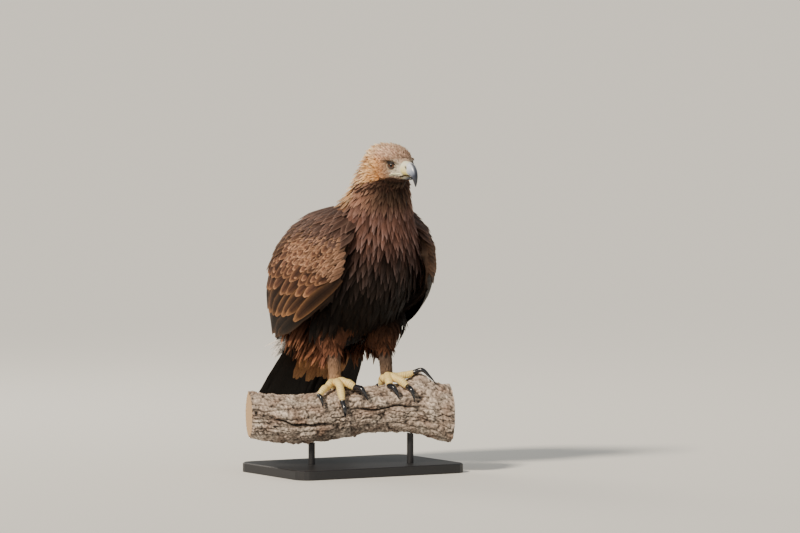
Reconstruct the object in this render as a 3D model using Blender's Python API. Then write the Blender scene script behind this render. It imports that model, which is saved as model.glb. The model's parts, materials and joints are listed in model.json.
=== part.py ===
"""Golden eagle, a still life-size model that grips a short length of branch on a plain stand."""
import math
import random

import bmesh
import bpy
from mathutils import Matrix, Vector, noise

# Lengths are in metres; the bird faces -Y and its right side is -X.
# The bird's own frame starts midway between its feet, at the top of the perch.
PERCH_TOP = 0.190
BIRD_SHIFT = -0.035
GAP = 0.0003
CUT_GAP = 0.00032

# Body, from the tail root to the top of the neck.
# Each row gives y, z, half width, back depth and breast depth.
BODY_ROWS = (
    (0.128, 0.100, 0.042, 0.022, 0.024),
    (0.105, 0.115, 0.064, 0.042, 0.042),
    (0.070, 0.145, 0.084, 0.078, 0.070),
    (0.030, 0.190, 0.100, 0.106, 0.094),
    (-0.008, 0.240, 0.108, 0.118, 0.106),
    (-0.036, 0.290, 0.103, 0.116, 0.104),
    (-0.055, 0.335, 0.092, 0.094, 0.092),
    (-0.070, 0.372, 0.078, 0.070, 0.078),
    (-0.083, 0.405, 0.065, 0.051, 0.066),
    (-0.094, 0.438, 0.056, 0.044, 0.052),
    (-0.102, 0.468, 0.044, 0.036, 0.036),
    (-0.108, 0.486, 0.026, 0.024, 0.020),
)
BODY_RINGS = 20
BODY_SIDES = 16
NECK_PART_AT = Vector((0.0, -0.070, 0.372))
NECK_PART_LEAN = 17.0

# Head, in its own frame: forward, to its left and up from the middle of the skull.
HEAD_CENTRE = Vector((0.003, -0.125, 0.464))
HEAD_TURN = 3.0
# Each row gives the distance forward, half width, height above and depth below.
HEAD_ROWS = (
    (-0.056, 0.010, 0.012, 0.012),
    (-0.050, 0.022, 0.024, 0.028),
    (-0.030, 0.034, 0.037, 0.042),
    (-0.004, 0.0385, 0.043, 0.044),
    (0.020, 0.036, 0.0405, 0.040),
    (0.036, 0.0285, 0.032, 0.039),
    (0.046, 0.0205, 0.021, 0.036),
    (0.053, 0.0145, 0.010, 0.0300),
)
HEAD_RINGS = 11
HEAD_SIDES = 18
EYE_PLACE = Vector((0.0335, 0.0210, -0.002))
EYE_RADIUS = 0.0095
EYE_LOOK = 0.85
LID_RADIUS = 0.0076
LID_REACH = 0.0062
LID_THICK = 0.0016
LID_FLAT = 0.86
LID_STEPS = 11
LID_SIDES = 4
EYE_RINGS = 8
EYE_SIDES = 11
BROW_SIZE = Vector((0.0150, 0.0046, 0.0034))
BROW_PLACE = Vector((0.0335, 0.0272, 0.0085))
BROW_TURN = -38.0
BROW_TILT = 8.0
GAPE_CORNER = Vector((0.0235, 0.0290, -0.0225))
GAPE_FRONT = Vector((0.0540, 0.0135, -0.0215))
GAPE_THICK = 0.0019
MOUTH_LINE_THICK = 0.0007

# Bill rows give the culmen point, the lower edge point and the half width.
CERE_ROWS = (
    (0.0500, 0.0080, 0.0500, -0.0215, 0.0140),
    (0.0560, 0.0075, 0.0565, -0.0215, 0.0125),
    (0.0620, 0.0068, 0.0625, -0.0215, 0.0115),
    (0.0665, 0.0060, 0.0665, -0.0215, 0.0108),
)
BILL_ROWS = (
    (0.0668, 0.0048, 0.0668, -0.0210, 0.0099),
    (0.0740, 0.0038, 0.0730, -0.0225, 0.0092),
    (0.0820, -0.0005, 0.0780, -0.0245, 0.0082),
    (0.0885, -0.0080, 0.0812, -0.0275, 0.0070),
    (0.0930, -0.0180, 0.0835, -0.0315, 0.0056),
    (0.0945, -0.0290, 0.0855, -0.0365, 0.0040),
    (0.0930, -0.0390, 0.0878, -0.0415, 0.0022),
    (0.0908, -0.0450, 0.0895, -0.0448, 0.0009),
)
JAW_ROWS = (
    (0.0500, -0.0235, 0.0500, -0.0350, 0.0115),
    (0.0600, -0.0235, 0.0600, -0.0350, 0.0095),
    (0.0700, -0.0245, 0.0700, -0.0345, 0.0075),
    (0.0780, -0.0265, 0.0775, -0.0335, 0.0052),
    (0.0808, -0.0285, 0.0806, -0.0315, 0.0022),
)
NOSTRIL_PLACE = Vector((0.0618, 0.0118, -0.0065))
NOSTRIL_SIZE = Vector((0.0012, 0.0030, 0.0024))

# The folded wings lie like a cloak round the body.
# Each row gives z, half width, middle y, depth to the front and depth to the back.
CLOAK_ROWS = (
    (0.372, 0.064, -0.005, 0.064, 0.050),
    (0.352, 0.106, 0.005, 0.115, 0.075),
    (0.322, 0.137, 0.018, 0.150, 0.095),
    (0.285, 0.158, 0.033, 0.180, 0.110),
    (0.240, 0.168, 0.050, 0.195, 0.120),
    (0.190, 0.163, 0.068, 0.200, 0.125),
    (0.140, 0.146, 0.085, 0.195, 0.125),
    (0.090, 0.124, 0.105, 0.190, 0.125),
    (0.040, 0.105, 0.140, 0.170, 0.120),
    (-0.040, 0.088, 0.180, 0.150, 0.105),
)
FRONT_POWER = 2.2
BACK_POWER = 2.6

# The wing's arm, where each row gives the turn round the body and its top and lower heights.
ARM_ROWS = (
    (-52.0, 0.285, 0.232),
    (-46.0, 0.318, 0.200),
    (-34.0, 0.340, 0.178),
    (-18.0, 0.356, 0.148),
    (0.0, 0.364, 0.118),
    (20.0, 0.366, 0.104),
    (38.0, 0.364, 0.104),
    (54.0, 0.352, 0.125),
    (68.0, 0.332, 0.165),
    (80.0, 0.305, 0.205),
)
ARM_THICK = 0.014
SHOULDER_DEPTH = 0.080
ARM_SINK = 0.0030
ARM_COLUMNS = 9
ARM_TALL = 6

# Feather tiers of a wing, from the shoulder down to the wing tip.
# Each gives its name and count, the first and last root, the first and last tip as turn and height,
# then the half width, the lifts of root and tip, and the widths along the feather.
VANE_THICK = 0.0012
STAGGER = 0.0018
# A feather's shape gives the place along it, its width and how much of its lift it has.
COVERT = ((0.0, 0.70, 0.0), (0.40, 1.0, 0.45), (1.0, 0.40, 1.0))
FLIGHT = ((0.0, 0.60, 0.0), (0.30, 0.95, 0.40), (0.75, 1.0, 0.82), (1.0, 0.42, 1.0))
WING_TIERS = (
    ("scapulars", 4, (2.0, 0.346), (72.0, 0.316), (14.0, 0.284), (68.0, 0.234),
     0.0250, (-0.0065, 0.0045), COVERT),
    ("lesser coverts", 4, (-41.0, 0.302), (10.0, 0.318), (-31.0, 0.260), (18.0, 0.258),
     0.0190, (-0.0065, 0.0036), COVERT),
    ("median coverts", 4, (-42.0, 0.264), (42.0, 0.280), (-26.0, 0.220), (48.0, 0.218),
     0.0250, (-0.0065, 0.0036), COVERT),
    ("greater coverts", 5, (-39.0, 0.234), (56.0, 0.260), (-15.0, 0.176), (58.0, 0.174),
     0.0240, (-0.0065, 0.0036), COVERT),
    ("secondaries", 5, (-24.0, 0.194), (64.0, 0.226), (10.0, 0.112), (66.0, 0.106),
     0.0240, (-0.0065, 0.0030), FLIGHT),
    ("primaries", 5, (-38.0, 0.202), (10.0, 0.152), (50.0, -0.030), (32.0, 0.062),
     0.0155, (-0.0085, -0.0080), FLIGHT),
)

# Tail feathers fan from the rump along one sloping plane.
TAIL_ROOT = Vector((0.0, 0.092, 0.148))
TAIL_SLOPE = 50.0
TAIL_LENGTH = 0.300
TAIL_HALF_FAN = 11.5
TAIL_ROOT_HALF = 0.044
TAIL_FEATHERS = 12
TAIL_LAYER = 0.0021
TAIL_FEATHER_HALF = 0.0215
QUILL = ((0.0, 0.50, 0.0), (0.35, 0.82, 0.0), (0.85, 1.0, 0.0), (1.0, 0.60, 0.0))
# Each row gives the reach, half width, height above and depth below of the tail's root.
TAIL_CORE_ROWS = (
    (-0.020, 0.050, 0.018, 0.026),
    (0.030, 0.076, 0.013, 0.027),
    (0.080, 0.084, 0.010, 0.021),
    (0.115, 0.062, 0.006, 0.010),
)
TAIL_CORE_RINGS = 6
TAIL_CORE_SIDES = 12
TAIL_CORE_POWER = 2.6
TAIL_VANE_THICK = 0.0014

# Rows of tail coverts give their swings, root and tip reach, lifts and half width.
TAIL_COVERTS = (
    ((-5.5, 5.5), 0.045, 0.145, (0.004, 0.0160), 0.0215),
    ((-9.0, 0.0, 9.0), 0.070, 0.195, (-0.006, -0.0115), 0.0195),
    ((-17.0, -6.0, 6.0, 17.0), 0.030, 0.150, (-0.012, -0.0225), 0.0240),
)

# Hackles of the nape stand in rows down the neck and round its back.
HACKLE_ROWS = (10.4, 9.7, 9.0, 8.3, 7.6)
HACKLE_ROUND = 4
HACKLE_REACH = 1.15
HACKLE_SWEEP = 100.0
HACKLE_HALF = 0.0150
HACKLE_THICK = 0.0018
HACKLE = ((0.0, 0.70, 0.0), (0.30, 1.0, 0.50), (1.0, 0.14, 1.0))

# Loose feathers hang from the thighs.
LOCKS_ROUND = 6
LOCK_ROWS = (
    (0.140, 0.088, (-0.007, 0.0050)),
    (0.112, 0.064, (-0.007, 0.0010)),
)
LOCK_HALF = 0.0180
LOCK_REAR_DROP = 0.028
LOCK_CLEAR = 0.002
LOCK_THICK = 0.0020
LOCK = ((0.0, 0.80, 0.0), (0.22, 1.0, 0.68), (1.0, 0.32, 1.0))

# Legs and feet; the perch runs across at a slight turn.
PERCH_TURN = -20.0
FOOT_REACH = 0.0548
HEEL_HEIGHT = 0.090
TARSUS_RADIUS = 0.0165
THIGH_TOP_APART = 0.058
# Each row gives the height, shift to the back, half width, depth to the front and to the back.
THIGH_ROWS = (
    (0.076, 0.014, 0.0240, 0.0240, 0.038),
    (0.092, 0.014, 0.0330, 0.0330, 0.054),
    (0.115, 0.014, 0.0420, 0.0430, 0.066),
    (0.150, 0.020, 0.0470, 0.0520, 0.072),
    (0.190, 0.030, 0.0430, 0.0520, 0.062),
)

# Perch rows give the place along it, the middle height and the radius.
PERCH_ROWS = (
    (-0.238, -0.063, 0.0490),
    (-0.190, -0.070, 0.0510),
    (-0.138, -0.076, 0.0520),
    (-0.070, -0.067, 0.0550),
    (0.000, -0.056, 0.0520),
    (0.045, -0.054, 0.0500),
    (0.100, -0.052, 0.0540),
    (0.150, -0.060, 0.0600),
    (0.190, -0.068, 0.0620),
)
PERCH_RINGS = 25
PERCH_SIDES = 19
KNOT_ALONG = 0.124
KNOT_ANGLE = -8.0
KNOT_HEIGHT = 0.021
KNOT_SPREAD = 0.024
BARK_DEPTH = 0.0045

BASE_LENGTH = 0.400
BASE_DEPTH = 0.280
BASE_THICK = 0.020
BASE_CORNER = 0.030
BASE_EDGE = 0.002
ROD_RADIUS = 0.007
ROD_APART = 0.105

COLOURS = {
    "dark_plumage": ((0.055, 0.032, 0.020), 0.85, 0.0),
    "golden_hackles": ((0.480, 0.270, 0.120), 0.85, 0.0),
    "wing_feathers": ((0.120, 0.065, 0.038), 0.80, 0.0),
    "tail_feathers": ((0.020, 0.015, 0.012), 0.75, 0.0),
    "rufous_trousers": ((0.190, 0.085, 0.035), 0.85, 0.0),
    "leg_feathers": ((0.260, 0.180, 0.120), 0.85, 0.0),
    "yellow_skin": ((0.720, 0.520, 0.160), 0.55, 0.0),
    "dark_horn": ((0.022, 0.022, 0.026), 0.30, 0.0),
    "slate_horn": ((0.400, 0.440, 0.520), 0.30, 0.0),
    "eye": ((0.250, 0.090, 0.025), 0.05, 0.0),
    "bark": ((0.420, 0.330, 0.260), 0.95, 0.0),
    "dark_stand": ((0.030, 0.030, 0.032), 0.45, 0.0),
}


def clear_scene():
    """Start from an empty file."""
    for item in list(bpy.data.objects):
        bpy.data.objects.remove(item, do_unlink=True)


def new_collection(name):
    """A collection linked to the scene."""
    group = bpy.data.collections.new(name)
    bpy.context.scene.collection.children.link(group)
    return group


def make_materials():
    """One plain material for each kind of surface."""
    made = {}
    for name, (colour, roughness, metallic) in COLOURS.items():
        material = bpy.data.materials.new(name)
        material.use_nodes = True
        shader = material.node_tree.nodes["Principled BSDF"]
        shader.inputs["Base Color"].default_value = (*colour, 1.0)
        shader.inputs["Roughness"].default_value = roughness
        shader.inputs["Metallic"].default_value = metallic
        made[name] = material
    return made


def smooth_row(rows, place):
    """The row at a place counted in rows, on a smooth curve through them all."""
    last = len(rows) - 1
    index = min(max(int(place), 0), last - 1)
    part = place - index
    before = rows[max(index - 1, 0)]
    start = rows[index]
    end = rows[index + 1]
    after = rows[min(index + 2, last)]
    row = []
    for a, b, c, d in zip(before, start, end, after):
        bend = 2.0 * b + (c - a) * part + (2.0 * a - 5.0 * b + 4.0 * c - d) * part ** 2
        row.append(0.5 * (bend + (3.0 * b - a - 3.0 * c + d) * part ** 3))
    return row


def spread(rows, count):
    """Smooth rows between the given rows, evenly spaced."""
    last = len(rows) - 1
    return [smooth_row(rows, last * step / (count - 1)) for step in range(count)]


def read_rows(rows, key):
    """The row between the two rows whose first numbers lie on either side of the key."""
    ordered = sorted(rows)
    low, high = ordered[0], ordered[-1]
    for first, second in zip(ordered, ordered[1:]):
        if first[0] <= key <= second[0]:
            low, high = first, second
    part = (key - low[0]) / (high[0] - low[0])
    part = min(max(part, 0.0), 1.0)
    return [a + (b - a) * part for a, b in zip(low, high)]


def mesh_object(name, bm):
    """An object in the scene from a bmesh, with its faces turned outward."""
    bmesh.ops.triangulate(bm, faces=[face for face in bm.faces if len(face.verts) > 4])
    bmesh.ops.recalc_face_normals(bm, faces=bm.faces)
    mesh = bpy.data.meshes.new(name)
    bm.to_mesh(mesh)
    bm.free()
    made = bpy.data.objects.new(name, mesh)
    bpy.context.scene.collection.objects.link(made)
    return made


def skin(name, rings):
    """A closed mesh through rings of points, with a fan over each end."""
    bm = bmesh.new()
    rows = [[bm.verts.new(point) for point in ring] for ring in rings]
    for lower, upper in zip(rows, rows[1:]):
        for index, vert in enumerate(lower):
            following = (index + 1) % len(lower)
            bm.faces.new((vert, lower[following], upper[following]))
            bm.faces.new((vert, upper[following], upper[index]))
    for row in (rows[0], rows[-1]):
        if len(row) < 5:
            bm.faces.new(row)
            continue
        middle = bm.verts.new(sum((vert.co for vert in row), Vector()) / len(row))
        for index, vert in enumerate(row):
            bm.faces.new((middle, vert, row[(index + 1) % len(row)]))
    return mesh_object(name, bm)


def oval(centre, side, up, half, above, below, count, power=2.0):
    """A ring of points round a centre, with its own height above and depth below."""
    ring = []
    for step in range(count):
        angle = 2.0 * math.pi * step / count
        across = math.copysign(abs(math.cos(angle)) ** (2.0 / power), math.cos(angle))
        rise = math.copysign(abs(math.sin(angle)) ** (2.0 / power), math.sin(angle))
        height = above if rise > 0.0 else below
        ring.append(centre + side * (half * across) + up * (height * rise))
    return ring


def tube(name, points, radii, sides=10, flat=1.0, side=None):
    """A round bar along the points, which may be flattened."""
    rings = []
    side = side or Vector((1.0, 0.0, 0.0))
    for index, point in enumerate(points):
        ahead = points[min(index + 1, len(points) - 1)] - points[max(index - 1, 0)]
        ahead.normalize()
        up = ahead.cross(side).normalized()
        across = up.cross(ahead).normalized()
        radius = radii[index]
        rings.append(oval(point, across, up, radius, radius * flat, radius * flat, sides))
    return skin(name, rings)


def ball(name, centre, radii, rings=8, sides=12, turn=None):
    """An egg shape, stretched along three axes and turned."""
    bm = bmesh.new()
    bmesh.ops.create_uvsphere(bm, u_segments=sides, v_segments=rings, radius=1.0)
    place = Matrix.Translation(centre)
    if turn is not None:
        place = place @ turn.to_4x4()
    place = place @ Matrix.Diagonal((*radii, 1.0))
    bmesh.ops.transform(bm, matrix=place, verts=bm.verts)
    return mesh_object(name, bm)


def apply_modifier(item, modifier):
    """Bake one modifier into the mesh."""
    bpy.context.view_layer.update()
    depsgraph = bpy.context.evaluated_depsgraph_get()
    mesh = bpy.data.meshes.new_from_object(item.evaluated_get(depsgraph), depsgraph=depsgraph)
    item.modifiers.remove(modifier)
    old = item.data
    item.data = mesh
    bpy.data.meshes.remove(old)


def join_pieces(item, pieces):
    """Fuse the pieces into the item with one union."""
    group = bpy.data.collections.new(item.name + "_pieces")
    bpy.context.scene.collection.children.link(group)
    for piece in pieces:
        group.objects.link(piece)
    modifier = item.modifiers.new("union", "BOOLEAN")
    modifier.operation = "UNION"
    modifier.operand_type = "COLLECTION"
    modifier.collection = group
    modifier.solver = "MANIFOLD"
    apply_modifier(item, modifier)
    for piece in pieces:
        bpy.data.objects.remove(piece, do_unlink=True)
    bpy.data.collections.remove(group)
    keep_largest(item)
    return item


def grown(item, distance):
    """A copy whose surface lies a little outside the item's."""
    mesh = item.data.copy()
    bm = bmesh.new()
    bm.from_mesh(mesh)
    bm.normal_update()
    moved = [(vert, vert.normal * (distance * vert.calc_shell_factor())) for vert in bm.verts]
    for vert, step in moved:
        vert.co += step
    bm.to_mesh(mesh)
    bm.free()
    copy = bpy.data.objects.new(item.name + "_grown", mesh)
    bpy.context.scene.collection.objects.link(copy)
    return copy


def cut(item, cutter, keep_cutter=False):
    """Take the cutter's space out of the item."""
    modifier = item.modifiers.new("cut", "BOOLEAN")
    modifier.operation = "DIFFERENCE"
    modifier.object = cutter
    modifier.solver = "MANIFOLD"
    apply_modifier(item, modifier)
    if not keep_cutter:
        bpy.data.objects.remove(cutter, do_unlink=True)
    keep_largest(item)


def cut_clear(item, *others):
    """Leave the small gap between the item and what it meets."""
    for other in others:
        cut(item, grown(other, CUT_GAP))


def keep_largest(item):
    """Keep only the largest closed surface of the mesh."""
    bm = bmesh.new()
    bm.from_mesh(item.data)
    unseen = set(bm.faces)
    shells = []
    while unseen:
        shell = {unseen.pop()}
        edge_of = list(shell)
        while edge_of:
            face = edge_of.pop()
            for edge in face.edges:
                for near in edge.link_faces:
                    if near in unseen:
                        unseen.remove(near)
                        shell.add(near)
                        edge_of.append(near)
        shells.append(shell)
    shells.sort(key=lambda shell: sum(face.calc_area() for face in shell), reverse=True)
    loose = [face for shell in shells[1:] for face in shell]
    bmesh.ops.delete(bm, geom=loose, context="FACES")
    bm.to_mesh(item.data)
    bm.free()


def block(name, centre, size, turn=None):
    """A plain block, turned about its own centre."""
    bm = bmesh.new()
    bmesh.ops.create_cube(bm, size=1.0)
    place = Matrix.Translation(centre)
    if turn is not None:
        place = place @ turn.to_4x4()
    place = place @ Matrix.Diagonal((*size, 1.0))
    bmesh.ops.transform(bm, matrix=place, verts=bm.verts)
    return mesh_object(name, bm)


def finish_node(item, name, material, group):
    """Name a finished sub-part, colour it and put it in the object's collection."""
    item.name = name
    item.data.name = name
    item.data.materials.clear()
    item.data.materials.append(material)
    for polygon in item.data.polygons:
        polygon.use_smooth = True
        polygon.material_index = 0
    for held in list(item.users_collection):
        held.objects.unlink(item)
    group.objects.link(item)
    return item


def body_rings():
    """Rings of the neck and torso, square to the spine."""
    rows = spread(BODY_ROWS, BODY_RINGS)
    side = Vector((1.0, 0.0, 0.0))
    rings = []
    for index, (y, z, half, back, breast) in enumerate(rows):
        before = rows[max(index - 1, 0)]
        after = rows[min(index + 1, len(rows) - 1)]
        ahead = Vector((0.0, after[0] - before[0], after[1] - before[1])).normalized()
        up = Vector((0.0, ahead.z, -ahead.y))
        rings.append(oval(Vector((0.0, y, z)), side, up, half, back, breast, BODY_SIDES, 2.15))
    return rings


def body_place(turn, place, lift):
    """A point on the neck or back at a turn from the middle of the back, lifted off it."""
    y, z, half, back, breast = smooth_row(BODY_ROWS, place)
    before = smooth_row(BODY_ROWS, place - 0.2)
    after = smooth_row(BODY_ROWS, place + 0.2)
    ahead = Vector((0.0, after[0] - before[0], after[1] - before[1])).normalized()
    up = Vector((0.0, ahead.z, -ahead.y))
    angle = math.radians(turn)
    deep = back if abs(turn) < 90.0 else breast
    out = Vector((1.0, 0.0, 0.0)) * (math.sin(angle) * half) + up * (math.cos(angle) * deep)
    return Vector((0.0, y, z)) + out * (1.0 + lift / out.length)


def hackles():
    """The pointed feathers of the nape, in staggered rows."""
    pieces = []
    for row, start in enumerate(HACKLE_ROWS):
        for step in range(HACKLE_ROUND):
            turn = HACKLE_SWEEP * (2.0 * (step + 0.5 * (row % 2)) / (HACKLE_ROUND - 0.5) - 1.0)
            reach = HACKLE_REACH * random.uniform(0.9, 1.1)
            stand = random.uniform(0.0060, 0.0085)
            pieces.append(feather(body_place, (turn, start), (turn * 0.97, start - reach), HACKLE_HALF,
                                  (-0.0045, stand), HACKLE_THICK, HACKLE))
    return pieces


def neck_plane():
    """A point and the direction of the cut between the torso and the neck."""
    lean = math.radians(NECK_PART_LEAN)
    return NECK_PART_AT, Vector((0.0, -math.sin(lean), math.cos(lean)))


def part_body():
    """The torso and the neck, one shape parted by a thin flat cut."""
    torso = skin("torso", body_rings())
    neck = skin("neck", body_rings())
    point, ahead = neck_plane()
    turn = ahead.to_track_quat("Z", "Y").to_matrix()
    size = 0.6
    for item, way in ((torso, 1.0), (neck, -1.0)):
        middle = point + ahead * (way * (size / 2.0 - GAP / 2.0))
        cut(item, block("half", middle, (size, size, size), turn))
    return torso, neck


def head_frame():
    """The matrix from the head's frame to the bird's frame."""
    turn = math.radians(HEAD_TURN)
    ahead = Vector((math.sin(turn), -math.cos(turn), 0.0))
    left = Vector((0.0, 0.0, 1.0)).cross(ahead).normalized()
    up = ahead.cross(left).normalized()
    frame = Matrix((ahead, left, up)).transposed().to_4x4()
    return Matrix.Translation(HEAD_CENTRE) @ frame


def head_ring(row, sides=HEAD_SIDES):
    """One ring of the head, square to its length."""
    forward, half, above, below = row
    centre = Vector((forward, 0.0, 0.0))
    return oval(centre, Vector((0, 1, 0)), Vector((0, 0, 1)), half, above, below, sides, 2.2)


def bill_rings(rows, count, sides=12):
    """Rings of a bill piece between its culmen and its lower edge."""
    rings = []
    for top_f, top_z, low_f, low_z, half in spread(rows, count):
        top = Vector((top_f, 0.0, top_z))
        low = Vector((low_f, 0.0, low_z))
        up = (top - low) / 2.0
        height = up.length
        centre = (top + low) / 2.0
        rings.append(oval(centre, Vector((0, 1, 0)), up.normalized(), half, height, height, sides, 2.3))
    return rings


def mirrored(place, way):
    """The same place on the head's left (1) or right (-1)."""
    return Vector((place.x, place.y * way, place.z))


def mouth_path(way, rise=0.0):
    """The line of the mouth from the corner of the gape to the cere."""
    points = []
    for step in range(5):
        part = step / 4.0
        point = GAPE_CORNER.lerp(GAPE_FRONT, part)
        point.z += 0.0030 * math.sin(math.pi * part) + rise
        point.y += 0.0035 * math.sin(math.pi * part)
        points.append(mirrored(point, way))
    return points


def model_head():
    """The head with brows, lids, gape and the line of the mouth, in its own frame."""
    head = skin("head", [head_ring(row) for row in spread(HEAD_ROWS, HEAD_RINGS)])
    pieces = []
    for way in (1.0, -1.0):
        brow_turn = Matrix.Rotation(way * math.radians(BROW_TURN), 3, "Z")
        brow_turn = brow_turn @ Matrix.Rotation(math.radians(BROW_TILT), 3, "Y")
        pieces.append(ball("brow", mirrored(BROW_PLACE, way), BROW_SIZE, 6, 8, brow_turn))
        pieces.append(tube("gape", mouth_path(way, 0.0021), [GAPE_THICK] * 5, 6, side=Vector((0, 0, 1))))
    join_pieces(head, pieces)
    lids = []
    for way in (1.0, -1.0):
        cut(head, ball("socket", mirrored(EYE_PLACE, way), [EYE_RADIUS + CUT_GAP] * 3, EYE_RINGS, EYE_SIDES))
        lids.append(lid_ring(way))
        path = mouth_path(way)
        cut(head, tube("mouth_line", path, [MOUTH_LINE_THICK] * 5, 4, side=Vector((0, 0, 1))))
    return join_pieces(head, lids)


def lid_ring(way):
    """The lids as a raised rim round the eye."""
    look = Vector((EYE_LOOK, way, 0.0)).normalized()
    centre = mirrored(EYE_PLACE, way) + look * LID_REACH
    along = Vector((0.0, 0.0, 1.0)).cross(look).normalized()
    up = look.cross(along).normalized()
    bm = bmesh.new()
    rows = []
    for step in range(LID_STEPS):
        angle = 2.0 * math.pi * step / LID_STEPS
        out = along * math.cos(angle) + up * (LID_FLAT * math.sin(angle))
        middle = centre + out * LID_RADIUS
        row = []
        for turn in range(LID_SIDES):
            spin = 2.0 * math.pi * turn / LID_SIDES
            row.append(bm.verts.new(middle + (out * math.cos(spin) + look * math.sin(spin)) * LID_THICK))
        rows.append(row)
    for index, row in enumerate(rows):
        following = rows[(index + 1) % LID_STEPS]
        for turn in range(LID_SIDES):
            after = (turn + 1) % LID_SIDES
            bm.faces.new((row[turn], following[turn], following[after], row[after]))
    rim = mesh_object("lid", bm)
    cut(rim, ball("socket", mirrored(EYE_PLACE, way), [EYE_RADIUS + CUT_GAP] * 3, EYE_RINGS, EYE_SIDES))
    return rim


def model_bill():
    """The cere with its nostrils, the hooked upper bill and the lower bill."""
    cere = skin("cere", bill_rings(CERE_ROWS, 5))
    for way in (1.0, -1.0):
        turn = Matrix.Rotation(math.radians(35.0), 3, "Y")
        cut(cere, ball("nostril", mirrored(NOSTRIL_PLACE, way), NOSTRIL_SIZE, 6, 8, turn))
    upper = skin("bill_upper", bill_rings(BILL_ROWS, 11))
    lower = skin("bill_lower", bill_rings(JAW_ROWS, 6))
    return cere, upper, lower


def cloak(way, turn, height, lift=0.0):
    """A point on the outer face of a folded wing, lifted off it by a small distance."""
    point = cloak_face(way, turn, height)
    if lift == 0.0:
        return point
    return point + cloak_normal(way, turn, height) * lift


def cloak_face(way, turn, height):
    """A point on the cloak: turn 0 is square to the side, negative to the front."""
    _, half, middle, front, back = read_rows(CLOAK_ROWS, height)
    angle = math.radians(turn)
    power = FRONT_POWER if turn < 0.0 else BACK_POWER
    depth = front if turn < 0.0 else back
    x = half * abs(math.cos(angle)) ** (2.0 / power)
    y = middle + depth * math.copysign(abs(math.sin(angle)) ** (2.0 / power), angle)
    return Vector((way * x, y, height))


def cloak_normal(way, turn, height):
    """The outward direction of the cloak."""
    step = 4.0
    rise = 0.012
    along = cloak_face(way, turn + step, height) - cloak_face(way, turn - step, height)
    up = cloak_face(way, turn, height + rise) - cloak_face(way, turn, height - rise)
    return along.cross(up).normalized() * way


def blade(name, stations):
    """A thin feather: each station gives its middle, across and up directions, half width and thickness."""
    bm = bmesh.new()
    rows = []
    for middle, across, up, half, thick in stations:
        rise = up * (thick / 2.0)
        left = middle - across * half
        right = middle + across * half
        rows.append([bm.verts.new(point) for point in (left + rise, right + rise, right - rise, left - rise)])
    for (a, b, c, d), (e, f, g, h) in zip(rows, rows[1:]):
        sides = ((a, b, f), (a, f, e), (d, g, c), (d, h, g), (b, c, g), (b, g, f), (d, a, e), (d, e, h))
        for side in sides:
            bm.faces.new(side)
    bm.faces.new(rows[0])
    bm.faces.new(rows[-1])
    return mesh_object(name, bm)


def feather(place, root, tip, half, lifts, thick, shape):
    """A feather over a surface, where place turns two surface numbers and a lift into a point."""
    last = len(shape) - 1
    points = []
    ups = []
    for part, _, rise in shape:
        spot = [a + (b - a) * part for a, b in zip(root, tip)]
        lift = lifts[0] + (lifts[1] - lifts[0]) * rise
        points.append(place(spot[0], spot[1], lift))
        ups.append((place(spot[0], spot[1], lift + 0.004) - points[-1]).normalized())
    stations = []
    for step, (part, width, _) in enumerate(shape):
        ahead = (points[min(step + 1, last)] - points[max(step - 1, 0)]).normalized()
        across = ahead.cross(ups[step]).normalized()
        up = across.cross(ahead).normalized()
        stations.append((points[step], across, up, half * width, thick * (1.0 - 0.45 * part)))
    return blade("feather", stations)


def arm_shell(way):
    """The wing's arm as a closed shell along the cloak, thin towards its edges."""
    across = spread(ARM_ROWS, ARM_COLUMNS)
    tall = ARM_TALL
    rings = []
    for turn, top, low in across:
        outer = []
        inner = []
        for step in range(tall):
            part = step / (tall - 1)
            height = low + (top - low) * part
            swell = math.sin(math.pi * (0.12 + 0.76 * part)) ** 0.5
            outer.append(cloak(way, turn, height, -ARM_SINK))
            rooted = min(max((part - 0.62) / 0.30, 0.0), 1.0) ** 2
            deep = ARM_SINK + ARM_THICK * swell + SHOULDER_DEPTH * rooted
            inner.append(cloak(way, turn, height, -deep))
        rings.append(outer + inner[::-1])
    return skin("arm", rings)


def tail_point(reach, swing, lift=0.0):
    """A point of the tail at a reach from its root and a swing from the middle line."""
    slope = math.radians(TAIL_SLOPE)
    ahead = Vector((0.0, math.cos(slope), -math.sin(slope)))
    up = Vector((0.0, math.sin(slope), math.cos(slope)))
    angle = math.radians(swing)
    start = TAIL_ROOT_HALF * swing / TAIL_HALF_FAN
    side = start + reach * math.sin(angle)
    return TAIL_ROOT + ahead * (reach * math.cos(angle)) + Vector((side, 0, 0)) + up * lift


def leg_place(way):
    """Where a foot stands: way is 1 for the left and -1 for the right."""
    turn = math.radians(PERCH_TURN)
    return Vector((math.cos(turn), math.sin(turn), 0.0)) * (FOOT_REACH * way)


def perch_point(along, angle, lift=0.0):
    """A point of the bark at a place along the perch and an angle from its top to its front."""
    _, middle, radius = read_rows(PERCH_ROWS, along)
    spin = math.radians(angle)
    turn = math.radians(PERCH_TURN)
    ahead = Vector((math.cos(turn), math.sin(turn), 0.0))
    front = Vector((math.sin(turn), -math.cos(turn), 0.0))
    out = front * math.sin(spin) + Vector((0.0, 0.0, 1.0)) * math.cos(spin)
    sample = Vector((along * 26.0, math.cos(spin) * 2.2, math.sin(spin) * 2.2))
    ridge = noise.noise(sample) + 0.6 * noise.noise(sample * 2.3 + Vector((7.0, 3.0, 1.0)))
    knot_turn = (angle - KNOT_ANGLE + 180.0) % 360.0 - 180.0
    knot_far = ((along - KNOT_ALONG) / KNOT_SPREAD) ** 2 + (math.radians(knot_turn) * radius / KNOT_SPREAD) ** 2
    radius += BARK_DEPTH * ridge + KNOT_HEIGHT * math.exp(-knot_far)
    return ahead * along + Vector((0.0, 0.0, middle)) + out * (radius + lift)


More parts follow.
